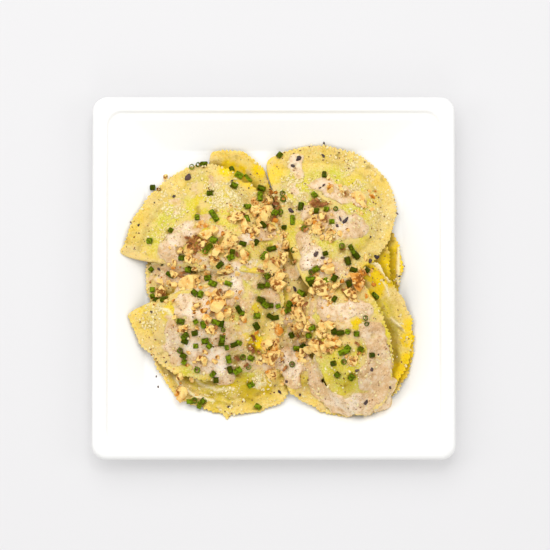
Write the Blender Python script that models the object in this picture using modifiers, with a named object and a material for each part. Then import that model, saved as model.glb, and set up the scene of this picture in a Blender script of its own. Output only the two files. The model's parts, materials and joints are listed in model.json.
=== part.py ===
"""Half-moon ravioli piled on a square moulded-fibre plate.

The plate is a thin pressed shell. Each raviolo is a folded round of pasta: a straight fold on one side,
a flat sealed rim round the arc, and a mound of filling between them. They are laid down one by one, and
each lies limp over the plate and over the ravioli that are already there.

Frame: metres, +Z up, +Y to the back of the plate, origin at the middle of the plate's underside.
"""

import math

import bmesh
import bpy
import numpy as np

# The plate.
PLATE_HALF = 0.100
PLATE_HEIGHT = 0.0165
PLATE_WALL = 0.0012
FLOOR_HALF = 0.0690
FLOOR_CORNER = 0.0140
LIP_WIDTH = 0.0082
LIP_CORNER = 0.0082
LIP_STEP = 0.0014
LIP_ROLL = 0.0042
CORNER_STEPS = 4

# One raviolo, apart from its outline.
RIM_THICKNESS = 0.0018
RIM_WIDTH = 0.0082
FOLD_THICKNESS = 0.0030
MOUND_HEIGHT = 0.0068
MOUND_SHOULDER = 0.0150
RUFFLE_HEIGHT = 0.0012
AROUND = 28
RINGS = 14
HUB_SHARE = 0.36

# The pasta's colour, from plain dough to the most golden piece, and its roughness.
PASTA_PALE = (0.87, 0.77, 0.46)
PASTA_GOLD = (0.90, 0.72, 0.26)
PASTA_ROUGHNESS = 0.45
FIBRE_COLOUR = (0.90, 0.89, 0.86)
FIBRE_ROUGHNESS = 0.75

# How limp the pasta lies: spread of one smoothing pass, and the drop and the number of passes.
GRID_PITCH = 0.001
GRID_HALF = 0.098
SPREAD = 0.003
SAG_RIM = 0.00030
SAG_MOUND = 0.00012
PASSES = 70
SKIN_SPREAD = 0.0022
CLEARANCE = 0.0004
REACH = 1

# The pile from the bottom up: name, chord centre x and y in mm, direction that the arc faces in degrees,
# half chord, depth of the arc, depth of the fold side, squareness of the arc and of the fold side, number
# of ruffles in the rim, and how golden the pasta is.
PILE = (
    ("under_front", -23.0, -29.0, -101, 45.0, 45.5, 13, 2.15, 2.8, 5, 0.4),
    ("under_right", 39.0, -37.5, -53, 38.0, 38.0, 12, 2.00, 2.6, 4, 0.3),
    ("side_low", 29.5, 4.0, -3, 40.0, 41.5, 6, 2.15, 4.0, 6, 0.7),
    ("left_mid", -32.5, 1.5, 178, 39.0, 38.0, 6, 2.20, 4.0, 5, 0.1),
    ("side_high", 24.0, 8.0, 4, 40.0, 40.0, 6, 2.10, 4.0, 5, 0.7),
    ("back_mid", -27.0, 29.0, 6, 42.0, 29.0, 6, 2.70, 4.0, 4, 1.0),
    ("right_gold", 39.5, -33.0, -10, 39.0, 36.5, 6, 2.15, 4.0, 4, 1.0),
    ("centre", -9.0, -4.0, 64, 41.0, 37.0, 12, 2.00, 2.8, 5, 0.3),
    ("front_left", -38.0, -9.5, -72, 43.5, 46.0, 6, 2.10, 4.0, 6, 0.2),
    ("front_right", 40.5, -35.5, 17, 40.0, 23.0, 19, 2.10, 2.4, 4, 0.1),
    ("back_left", -39.0, 12.0, 83, 43.5, 51.5, 7, 1.85, 4.0, 5, 0.2),
    ("back_right", 16.5, 32.0, 17, 40.0, 51.5, 12, 2.10, 4.0, 6, 0.4),
)


def clear_scene():
    for item in list(bpy.data.objects):
        bpy.data.objects.remove(item, do_unlink=True)


def finish(name, colour, roughness):
    material = bpy.data.materials.new(name)
    material.use_nodes = True
    shader = material.node_tree.nodes["Principled BSDF"]
    shader.inputs["Base Color"].default_value = (*colour, 1.0)
    shader.inputs["Roughness"].default_value = roughness
    shader.inputs["Metallic"].default_value = 0.0
    return material


def add_object(name, mesh, material, collection):
    item = bpy.data.objects.new(name, mesh)
    item.data.materials.append(material)
    collection.objects.link(item)
    return item


# ---- The plate ----

def rounded_square(half, corner):
    """Points of a square with round corners, anticlockwise from its right side."""
    points = []
    for quarter in range(4):
        turn = quarter * math.pi / 2
        for step in range(CORNER_STEPS + 1):
            angle = step / CORNER_STEPS * math.pi / 2
            x = half - corner + corner * math.cos(angle)
            y = half - corner + corner * math.sin(angle)
            points.append((x * math.cos(turn) - y * math.sin(turn), x * math.sin(turn) + y * math.cos(turn)))
    return points


def plate_sections():
    """The plate's upper surface as (half width, corner radius, height), from the floor to the lip's edge."""
    well = PLATE_HALF - LIP_WIDTH
    shelf = PLATE_HEIGHT - LIP_STEP
    floor = PLATE_WALL
    return (
        (FLOOR_HALF, FLOOR_CORNER, floor),
        (FLOOR_HALF + 0.0022, FLOOR_CORNER + 0.0010, floor + 0.0006),
        (FLOOR_HALF + 0.0052, FLOOR_CORNER + 0.0010, floor + 0.0026),
        (well - 0.0045, LIP_CORNER + 0.0025, shelf - 0.0020),
        (well - 0.0010, LIP_CORNER, shelf),
        (well + 0.0008, LIP_CORNER, PLATE_HEIGHT - 0.0004),
        (well + 0.0022, LIP_CORNER, PLATE_HEIGHT),
        (PLATE_HALF - 0.0030, LIP_CORNER, PLATE_HEIGHT),
        (PLATE_HALF - 0.0009, LIP_CORNER, PLATE_HEIGHT - 0.0011),
        (PLATE_HALF, LIP_CORNER, PLATE_HEIGHT - LIP_ROLL),
    )


def build_plate(collection):
    """A loft of rounded squares closed by a flat floor, given its wall by Solidify."""
    body = bmesh.new()
    loops = []
    for half, corner, height in plate_sections():
        loops.append([body.verts.new((x, y, height)) for x, y in rounded_square(half, corner)])
    body.faces.new(loops[0])
    count = len(loops[0])
    for inner, outer in zip(loops, loops[1:]):
        for i in range(count):
            j = (i + 1) % count
            body.faces.new((inner[i], outer[i], outer[j], inner[j]))
    bmesh.ops.recalc_face_normals(body, faces=body.faces)
    if loops[0][0].link_faces[0].normal.z < 0:
        bmesh.ops.reverse_faces(body, faces=body.faces)
    mesh = bpy.data.meshes.new("plate")
    body.to_mesh(mesh)
    body.free()
    item = add_object("plate", mesh, finish("moulded_fibre", FIBRE_COLOUR, FIBRE_ROUGHNESS), collection)
    wall = item.modifiers.new("wall", "SOLIDIFY")
    wall.thickness = PLATE_WALL
    wall.offset = -1.0
    wall.use_even_offset = True
    return item


# ---- Heights on a grid over the plate ----

def grid_axis():
    count = int(round(2 * GRID_HALF / GRID_PITCH)) + 1
    return np.linspace(-GRID_HALF, GRID_HALF, count)


AXIS = grid_axis()
GRID_X, GRID_Y = np.meshgrid(AXIS, AXIS)


def cell(value):
    """The grid's fractional index of a coordinate."""
    return (value + GRID_HALF) / GRID_PITCH


def samples_in(triangle):
    """Rows, columns, heights and barycentric weights of the grid points under one triangle."""
    (ax, ay, az), (bx, by, bz), (cx, cy, cz) = triangle
    area = (bx - ax) * (cy - ay) - (cx - ax) * (by - ay)
    if abs(area) < 1e-12:
        return None
    top = len(AXIS) - 1
    left = max(0, math.ceil(cell(min(ax, bx, cx))))
    right = min(top, math.floor(cell(max(ax, bx, cx))))
    low = max(0, math.ceil(cell(min(ay, by, cy))))
    high = min(top, math.floor(cell(max(ay, by, cy))))
    if right < left or high < low:
        return None
    x, y = np.meshgrid(AXIS[left:right + 1], AXIS[low:high + 1])
    wb = ((x - ax) * (cy - ay) - (cx - ax) * (y - ay)) / area
    wc = ((bx - ax) * (y - ay) - (x - ax) * (by - ay)) / area
    wa = 1 - wb - wc
    rows, columns = np.nonzero((wa >= -1e-6) & (wb >= -1e-6) & (wc >= -1e-6))
    if not len(rows):
        return None
    heights = (wa * az + wb * bz + wc * cz)[rows, columns]
    return rows + low, columns + left, heights


def triangles_of(item):
    """The evaluated mesh as points and triangles."""
    mesh = item.evaluated_get(bpy.context.evaluated_depsgraph_get()).to_mesh()
    mesh.calc_loop_triangles()
    points = np.array([v.co for v in mesh.vertices])
    faces = np.array([t.vertices for t in mesh.loop_triangles])
    return points, faces


def raise_heap(heap, item):
    """The highest surface so far, with the item's own facets added."""
    points, faces = triangles_of(item)
    for face in faces:
        found = samples_in(points[face])
        if found:
            rows, columns, heights = found
            np.maximum.at(heap, (rows, columns), heights)
    return heap


def widened(heights, reach):
    """Each height raised to the highest one within reach grid steps."""
    for axis in (0, 1):
        heights = np.max([np.roll(heights, shift, axis=axis) for shift in range(-reach, reach + 1)], axis=0)
    return heights


def blurred(values, weights, spread):
    """A Gaussian mean over the grid points that have weight, so that an edge isn't pulled down."""
    sigma = spread / GRID_PITCH
    reach = int(math.ceil(2.5 * sigma))
    taps = [math.exp(-0.5 * (k / sigma) ** 2) for k in range(-reach, reach + 1)]
    total = [values * weights, weights.copy()]
    for axis in (0, 1):
        total = [
            sum(tap * np.roll(layer, k, axis=axis) for tap, k in zip(taps, range(-reach, reach + 1)))
            for layer in total
        ]
    return np.where(total[1] > 1e-6, total[0] / np.maximum(total[1], 1e-6), values)


def sample(heights, x, y):
    """Bilinear heights at points."""
    column = np.clip(cell(np.asarray(x)), 0, len(AXIS) - 1.001)
    row = np.clip(cell(np.asarray(y)), 0, len(AXIS) - 1.001)
    c, r = column.astype(int), row.astype(int)
    fc, fr = column - c, row - r
    near = heights[r, c] * (1 - fc) + heights[r, c + 1] * fc
    far = heights[r + 1, c] * (1 - fc) + heights[r + 1, c + 1] * fc
    return near * (1 - fr) + far * fr


# ---- One raviolo ----

class Outline:
    """A half-moon seen from above: an arc on one side of the chord and a nearly straight fold on the other."""

    def __init__(self, x, y, facing, half, depth, fold, arc_power, fold_power):
        self.x, self.y = x, y
        self.cos, self.sin = math.cos(math.radians(facing)), math.sin(math.radians(facing))
        self.half, self.depth, self.fold = half, depth, fold
        self.arc_power, self.fold_power = arc_power, fold_power

    def place(self, along, across):
        """From the raviolo's own axes, along the chord and across it, to the plate's."""
        return (
            self.x + along * self.sin + across * self.cos,
            self.y - along * self.cos + across * self.sin,
        )

    def local(self, x, y):
        dx, dy = x - self.x, y - self.y
        return dx * self.sin - dy * self.cos, dx * self.cos + dy * self.sin

    def reach(self, angle):
        """Distance from the chord's centre to the edge in a direction."""
        c, s = np.abs(np.cos(angle)), np.abs(np.sin(angle))
        arc = ((c / self.half) ** self.arc_power + (s / self.depth) ** self.arc_power) ** (-1 / self.arc_power)
        fold = ((c / self.half) ** self.fold_power + (s / self.fold) ** self.fold_power) ** (-1 / self.fold_power)
        return np.where(np.sin(angle) >= 0, arc, fold)

    def edge(self, count):
        """Points of the edge at equal steps along it, in the raviolo's own axes."""
        angle = np.linspace(0, 2 * math.pi, 1441)
        along, across = self.reach(angle) * np.cos(angle), self.reach(angle) * np.sin(angle)
        run = np.concatenate([[0], np.cumsum(np.hypot(np.diff(along), np.diff(across)))])
        wanted = np.linspace(0, run[-1], count, endpoint=False)
        return np.interp(wanted, run, along), np.interp(wanted, run, across)

    def depths(self, along, across):
        """Distances of inner points from the sealed arc and from the fold."""
        u, v = self.edge(240)
        near = [np.hypot(along[..., None] - u[part], across[..., None] - v[part]).min(-1)
                for part in (v >= 0, v < 0)]
        return near

    def thickness(self, along, across):
        """Two sheets of pasta at the rim, rising over the filling."""
        from_arc, from_fold = self.depths(along, across)
        rise = np.minimum((from_arc - RIM_WIDTH) / MOUND_SHOULDER, (from_fold + 0.001) / MOUND_SHOULDER)
        rise = np.clip(rise, 0, 1)
        mound = MOUND_HEIGHT * (rise * (2 - rise)) ** 1.15
        fold = (FOLD_THICKNESS - RIM_THICKNESS) * np.clip(1 - from_fold / RIM_WIDTH, 0, 1) ** 2
        return RIM_THICKNESS + mound + fold * np.clip(from_arc / RIM_WIDTH, 0, 1)

    def ruffle(self, along, across, waves, phase):
        """A wavy lift of the rim, nothing at the mound."""
        from_arc, _ = self.depths(along, across)
        share = np.clip(1 - from_arc / RIM_WIDTH, 0, 1)
        turn = np.arctan2(across, along)
        return RUFFLE_HEIGHT * share * (0.5 + 0.5 * np.sin(waves * turn + phase))


def lay(outline, heap, waves, phase):
    """Heights of the underside and of the top of a limp raviolo lying on the heap."""
    along, across = outline.local(GRID_X, GRID_Y)
    inside = np.hypot(along, across) < outline.reach(np.arctan2(across, along)) + 1.5 * GRID_PITCH
    weights = inside.astype(float)
    support = widened(heap, REACH) + CLEARANCE
    thickness = np.zeros_like(heap)
    lift = np.zeros_like(heap)
    thickness[inside] = outline.thickness(along[inside], across[inside])
    lift[inside] = outline.ruffle(along[inside], across[inside], waves, phase)
    stiff = np.clip((thickness - RIM_THICKNESS) / MOUND_HEIGHT, 0, 1)
    sag = SAG_RIM + (SAG_MOUND - SAG_RIM) * stiff
    under = np.maximum(blurred(support, weights, 0.010), support)
    for _ in range(PASSES):
        under = np.maximum(blurred(under, weights, SPREAD) - sag, support)
    under = np.maximum(blurred(under, weights, SPREAD / 2), support) + lift
    skin = np.maximum(blurred(under, weights, SKIN_SPREAD) + thickness, under + 0.8 * RIM_THICKNESS)
    return under, skin


def build_raviolo(name, outline, heap, waves, phase, material, collection):
    """A ball pressed into the raviolo: its upper half takes the top, its lower half the underside."""
    under, skin = lay(outline, heap, waves, phase)
    body = bmesh.new()
    bmesh.ops.create_uvsphere(body, u_segments=AROUND, v_segments=RINGS, radius=1.0)
    points = np.array([v.co for v in body.verts])
    turn = np.arctan2(points[:, 1], points[:, 0])
    spread = np.hypot(points[:, 0], points[:, 1])
    edge_along, edge_across = outline.edge(AROUND)
    spoke = np.round(turn / (2 * math.pi / AROUND)).astype(int) % AROUND
    hub = HUB_SHARE * outline.depth
    along = spread * edge_along[spoke]
    across = hub + spread * (edge_across[spoke] - hub)
    x, y = outline.place(along, across)
    low, high = sample(under, x, y), sample(skin, x, y)
    level = np.where(points[:, 2] > 1e-4, high, np.where(points[:, 2] < -1e-4, low, (low + high) / 2))
    level = cleared(body, np.column_stack([x, y, level]), points[:, 2] < 1e-4, heap)
    for vert, px, py, pz in zip(body.verts, x, y, level):
        vert.co = (px, py, pz)
    mesh = bpy.data.meshes.new(name)
    body.to_mesh(mesh)
    body.free()
    return add_object(name, mesh, material, collection)


def cleared(body, points, lower, heap):
    """Heights with the underside's facets lifted off whatever pokes into them from below."""
    support = widened(heap, REACH) + CLEARANCE
    level = points[:, 2].copy()
    lift = np.zeros(len(level))
    for face in body.faces:
        ring = [v.index for v in face.verts]
        if not all(lower[ring]):
            continue
        for i in range(1, len(ring) - 1):
            corners = [ring[0], ring[i], ring[i + 1]]
            found = samples_in(points[corners])
            if found:
                rows, columns, heights = found
                short = max(0.0, float((support[rows, columns] - heights).max()))
                lift[corners] = np.maximum(lift[corners], short)
    level += lift
    pairs = {}
    for index, (x, y, _) in enumerate(points):
        pairs.setdefault((round(x, 6), round(y, 6)), []).append(index)
    for pair in pairs.values():
        if len(pair) == 2:
            bottom, top = sorted(pair, key=lambda i: points[i, 2])
            level[top] = max(level[top], level[bottom] + 0.8 * RIM_THICKNESS)
    return level


def pasta(name, gold):
    colour = [pale + (golden - pale) * gold for pale, golden in zip(PASTA_PALE, PASTA_GOLD)]
    return finish(name + "_pasta", colour, PASTA_ROUGHNESS)


def main():
    clear_scene()
    collection = bpy.data.collections.new("ravioli_on_plate")
    bpy.context.scene.collection.children.link(collection)
    plate = build_plate(collection)
    bpy.context.view_layer.update()
    heap = raise_heap(np.zeros_like(GRID_X), plate)
    for order, row in enumerate(PILE):
        name, x, y, facing, half, depth, fold, arc_power, fold_power, waves, gold = row
        outline = Outline(x / 1000, y / 1000, facing, half / 1000, depth / 1000, fold / 1000,
                          arc_power, fold_power)
        item = build_raviolo(name, outline, heap, waves, 1.7 * order, pasta(name, gold), collection)
        bpy.context.view_layer.update()
        heap = raise_heap(heap, item)


main()
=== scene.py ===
"""Half-moon ravioli in a creamy walnut sauce with chives, on a square moulded-fibre plate.

Laid out as a Blender add-on and run as a script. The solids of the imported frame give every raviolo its
place and its height; the operators lay the fine surfaces, the sauce and the toppings over them.
Metres, +Z up, +Y to the back of the plate, origin at the middle of the plate's underside.
"""

import functools
import json
import math

import bmesh
import bpy
import numpy as np
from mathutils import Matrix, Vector

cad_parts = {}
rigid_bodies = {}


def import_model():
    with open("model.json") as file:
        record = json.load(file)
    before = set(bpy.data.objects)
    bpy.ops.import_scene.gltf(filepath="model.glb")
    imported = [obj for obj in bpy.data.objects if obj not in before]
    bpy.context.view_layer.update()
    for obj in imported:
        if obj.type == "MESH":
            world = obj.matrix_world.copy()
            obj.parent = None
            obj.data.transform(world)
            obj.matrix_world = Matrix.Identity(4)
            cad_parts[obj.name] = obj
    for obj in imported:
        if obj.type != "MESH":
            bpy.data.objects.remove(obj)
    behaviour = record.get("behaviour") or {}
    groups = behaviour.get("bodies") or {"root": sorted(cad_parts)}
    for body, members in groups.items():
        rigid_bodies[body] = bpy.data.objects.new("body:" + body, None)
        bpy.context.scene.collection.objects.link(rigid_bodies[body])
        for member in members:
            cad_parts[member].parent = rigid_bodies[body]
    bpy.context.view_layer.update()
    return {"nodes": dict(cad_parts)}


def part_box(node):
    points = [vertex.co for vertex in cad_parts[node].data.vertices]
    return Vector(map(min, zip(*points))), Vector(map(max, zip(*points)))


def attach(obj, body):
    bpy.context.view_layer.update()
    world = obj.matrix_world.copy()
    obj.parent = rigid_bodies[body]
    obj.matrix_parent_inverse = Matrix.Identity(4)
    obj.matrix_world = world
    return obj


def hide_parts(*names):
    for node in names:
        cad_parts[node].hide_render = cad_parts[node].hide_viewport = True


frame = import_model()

bl_info = {
    "name": "Ravioli in Walnut Sauce",
    "version": (1, 0, 0),
    "blender": (4, 5, 0),
    "location": "View3D > Sidebar > Ravioli",
    "description": "Half-moon ravioli with sauce, nuts and chives on a fibre plate",
    "category": "Add Mesh",
}

MM = 0.001
BODY = "root"

# Each raviolo from the bottom up: node, chord centre x and y in mm, direction that the arc faces in
# degrees, half chord, depth of the arc, depth of the fold side, squareness of the arc and of the fold
# side, how golden the dough is and how green the filling shows.
PILE = (
    ("under_front", -23.0, -29.0, -101, 45.0, 45.5, 13, 2.15, 2.8, 0.35, 0.6),
    ("under_right", 39.0, -37.5, -53, 38.0, 38.0, 12, 2.00, 2.6, 0.35, 0.6),
    ("side_low", 29.5, 4.0, -3, 40.0, 41.5, 6, 2.15, 4.0, 0.7, 0.5),
    ("left_mid", -32.5, 1.5, 178, 39.0, 38.0, 6, 2.20, 4.0, 0.2, 0.8),
    ("side_high", 24.0, 8.0, 4, 40.0, 40.0, 6, 2.10, 4.0, 0.55, 0.6),
    ("back_mid", -27.0, 29.0, 6, 42.0, 29.0, 6, 2.70, 4.0, 0.35, 0.4),
    ("right_gold", 39.5, -33.0, -10, 39.0, 36.5, 6, 2.15, 4.0, 0.34, 0.3),
    ("centre", -9.0, -4.0, 64, 41.0, 37.0, 12, 2.00, 2.8, 0.4, 0.7),
    ("front_left", -38.0, -9.5, -72, 43.5, 46.0, 6, 2.10, 4.0, 0.3, 0.7),
    ("front_right", 40.5, -35.5, 17, 40.0, 23.0, 19, 2.10, 2.4, 0.25, 1.0),
    ("back_left", -39.0, 12.0, 83, 43.5, 51.5, 7, 1.85, 4.0, 0.3, 0.9),
    ("back_right", 16.5, 32.0, 17, 40.0, 51.5, 12, 2.10, 4.0, 0.28, 0.95),
)
GOLD_SLOT = ("side_low", "side_high", "back_mid", "right_gold")

# Places where the dough is more golden: x, y and radius in mm, and how much.
GOLDEN = (
    (-74, -23, 8, 0.3), (-57, -20, 6, 0.35), (-11, -36, 6, 1.0), (44, -24, 5, 0.9), (69, -51, 7, 1.0),
    (56, 2, 9, 1.0), (0, 58, 8, 0.5), (66, 10, 9, 0.7), (-8, 60, 6, 0.7), (-16, -34, 5, 0.6),
    (-25, 60, 7, 1.0), (-13, 53, 7, 0.4), (-19, 58, 7, 0.8), (57, -4, 6, 1.0), (42, -33, 6, 0.7), (20, -27, 4, 0.5),
    (-1, 66, 6, 0.4), (60, -1, 6, 1.0), (55, 1, 7, 1.0), (56, -7, 6, 1.0), (74, -26, 6, 0.6), (75, -34, 6, 0.8),
    (74, -45, 6, 0.8), (70, -20, 5, 0.3), (64, 8, 5, 1.0), (64, -1, 5, 1.0), (-24, -58, 5, 0.5), (-10, 3, 5, 0.5), (-5, -60, 5, 0.6),
)

# Places where the filling shows greener: x, y and radius in mm, and how much.
GREENER = (
    (-60, 33, 9, 0.7), (-40, 55, 7, 0.5), (38, -54, 13, 0.7), (13, 57, 7, 0.5), (45, 44, 14, 0.4),
    (-8, -33, 7, 0.6), (-30, -60, 14, 0.55), (-12, -58, 9, 0.6), (6, 23, 8, 0.6), (-5, 19, 5, 0.5),
    (60, -17, 9, 0.9), (62, -29, 9, 0.9), (65, -40, 8, 0.85), (0, 21, 7, 0.9), (-16, 2, 6, 0.5), (-40, -57, 8, 0.5), (19, -57, 6, 0.8), (44, 20, 9, 0.6),
    (-52, 38, 10, 0.5), (34, 57, 9, 0.5), (-66, 22, 8, 0.5), (30, -52, 8, 0.7), (-40, 37, 8, 0.4), (4, 14, 8, 0.5), (40, -25, 6, 0.5), (-48, -51, 7, 0.8),
)

# Where a thin film of sauce coats the dough: x, y and radius in mm, and how thickly.
FILM = (
    (-68, -33, 6, 0.9), (-64, -44, 6, 0.9), (-58, -50, 6, 0.8), (-78, 12, 7, 0.8), (-71, 8, 7, 0.6),
    (-50, 28, 10, 1), (-58, 17, 10, 1), (-58, 3, 11, 1), (-47, 2, 10, 1), (-22, -3, 9, 1), (-12, 23, 6, 1),
    (-32, 7, 12, 0.9), (-25, 19, 11, 0.9), (-41, 51, 6, 0.9), (-32, 53, 6, 0.9), (-52, 40, 5, 0.8),
    (-25, 40, 9, 0.6), (-16, 28, 9, 0.9), (-61, -1, 9, 1), (-47, -17, 10, 1), (-34, -13, 12, 0.9),
    (-21, -9, 10, 1), (-58, -33, 10, 1), (-61, -40, 7, 1), (-43, -38, 13, 1), (-32, -45, 13, 1),
    (-34, -33, 12, 1), (-27, -52, 8, 1), (-18, -45, 9, 0.9), (-6, -47, 8, 0.9), (-14, -25, 10, 0.9),
    (-25, -27, 9, 0.9), (-2, -13, 10, 0.9), (21, -14, 9, 1), (32, -15, 13, 0.9), (42, -18, 13, 0.9),
    (37, -25, 11, 0.9), (10, -36, 12, 0.9), (1, -31, 8, 0.8), (54, -34, 11, 1), (56, -42, 11, 1),
    (54, -53, 13, 1), (56, -65, 11, 1), (42, -69, 10, 1), (28, -67, 9, 1), (22, -53, 6, 1), (-2, -45, 8, 1),
    (10, -51, 9, 1), (42, -36, 10, 0.8), (50, -4, 9, 0.8), (12, 65, 6, 0.9), (15, 59, 6, 0.8),
    (10, 49, 8, 0.8), (26, 49, 10, 0.9), (37, 45, 9, 0.9), (47, 45, 7, 0.7), (42, 27, 12, 1),
    (32, 38, 9, 0.9), (19, 21, 11, 1), (26, 31, 11, 0.9), (22, 8, 13, 1), (35, 5, 12, 1), (40, -4, 11, 0.9),
    (-3, 27, 5, 0.9), (4, 5, 11, 0.9), (6, 40, 9, 0.8), (1, 13, 8, 0.6), (-2, -4, 9, 0.9),
    (-42, -27, 9, 0.8), (12, -8, 10, 0.8), (8, -22, 9, 0.8), (-63, -22, 7, 0.5), (30, -5, 9, 0.8),
)
BARE = ((0, 22, 5, 0.9), (38, -55, 12, 1), (6, 23, 7, 0.8), (-8, -33, 7, 0.9), (-5, 19, 4, 0.8), (64, 5, 9, 1), (-60, 33, 7, 0.7),
        (68, -45, 8, 0.9), (57, 2, 7, 1))

# How crumpled each raviolo is, above the slight wrinkles that all have.
CRUMPLED = {"under_front": 1.4, "under_right": 0.8, "right_gold": 0.6, "side_low": 0.3, "front_left": 0.25}

# Where an edge bulges out: x, y and half width in mm, and by how much.
BULGES = {
    "right_gold": ((56.5, 6.5, 7.0, 5.5),),
    "under_front": ((-25.7, -74.5, 1.6, 3.2), (-52.0, -62.0, 3.0, 1.2), (2.0, -68.0, 5.0, 1.0)),
    "back_left": ((-81.5, 14.0, 3.0, 2.0),),
    "front_left": ((-79.5, -20.5, 2.0, 1.0), (-74.5, -33.0, 4.0, 0.8)),
    "back_right": ((-5.0, 62.0, 5.0, 1.2),),
    "under_right": ((6.0, -66.0, 4.0, 1.2),),
}

# Folded edges of dough: the raviolo, the height in mm, and points as x, y and half width in mm.
RIDGES = (
    ("right_gold", 1.2, ((53.4, 8.2, 1.3), (56.0, 8.6, 2.4), (58.8, 6.2, 2.6), (61.4, 2.2, 1.8), (63.6, -2.0, 1.0))),
    ("right_gold", 0.5, ((59.5, -1.0, 0.5), (62.0, -5.0, 0.7), (63.5, -10.0, 0.5))),
    ("right_gold", 0.7, ((64.6, -22.0, 0.7), (68.0, -25.0, 0.9), (71.5, -28.9, 0.7))),
    ("right_gold", 0.6, ((58.0, -27.0, 0.8), (61.5, -30.0, 1.0), (62.5, -35.0, 0.8))),
    ("side_low", 0.9, ((69.0, 17.0, 0.9), (68.8, 6.0, 1.1), (68.6, -3.0, 0.9))),
    ("under_front", 0.9, ((-4.5, -57.5, 1.2), (-9.0, -59.5, 1.8), (-8.0, -54.5, 1.5))),
    ("under_front", 0.7, ((-58.0, -50.0, 0.8), (-52.0, -58.5, 1.0), (-44.0, -64.5, 1.0), (-33.0, -67.5, 0.8))),
    ("under_front", 0.6, ((-46.0, -52.5, 0.8), (-40.0, -58.5, 1.0), (-31.0, -61.5, 0.9), (-22.0, -60.5, 0.7))),
    ("front_left", 0.6, ((-64.0, -16.5, 0.8), (-58.0, -18.0, 1.2), (-55.0, -23.0, 1.0))),
    ("front_right", 0.8, ((63.6, -50.4, 0.8), (67.1, -53.9, 1.0))),
)

# Where the sauce is whiter: x, y and radius in mm, and how much.
MILKY = (
    (-44, -18, 9, 0.8), (-38, -30, 8, 0.7), (-34, -42, 9, 0.9), (10, -50, 8, 0.9),
    (-29, -49, 11, 1), (-42, -40, 9, 0.7), (-22, -3, 8, 1), (-20, 4, 6, 0.8), (-55, 20, 8, 0.6), (-48, 26, 8, 0.6),
    (20, 10, 11, 0.9), (26, 2, 8, 0.7), (38, 31, 8, 0.6), (28, 50, 8, 0.6), (8, -46, 9, 0.8), (12, -42, 6, 0.8),
    (44, -69, 9, 0.9), (34, -68, 7, 0.6), (40, -15, 11, 0.7), (30, -14, 8, 0.6), (12, 63, 6, 0.9), (-34, -15, 8, 0.8),
    (-12, 23, 7, 0.9), (-56, -34, 8, 0.6), (-46, -39, 7, 1), (-32, 8, 8, 0.6), (52, -32, 6, 0.5), (-8, 6, 8, 0.5), (-52, -8, 8, 0.6),
)

# Where the dough is darker, soaked with butter in places and painted shade in the narrow gaps between rims and folds:
# x, y and radius in mm, and how much.
SOAKED_AND_SHADED = (
    (-30, -60, 15, 0.95), (-14, -60, 12, 1.0), (-30, -68, 9, 0.8), (-4, -62, 8, 0.8), (-46, -58, 9, 0.6), (-21, 56, 5, 0.9),
    (40, -60, 9, 0.8), (34, -56, 9, 0.6), (-12, -34, 5, 0.7), (15, -62, 6, 0.6),
    (64.5, 13, 5, 1), (64.5, 4, 5, 1), (65, -3, 4, 1), (-6, -30, 6, 0.5), (20, -33, 5, 0.4), (-45, -66, 6, 0.9), (-30, -72, 6, 0.6),
    (-62, -9, 5, 0.9), (-64, 44, 5, 0.4), (44, -24, 5, 0.4), (24, 22, 5, 0.3), (54, 12, 3, 1),
)

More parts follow.
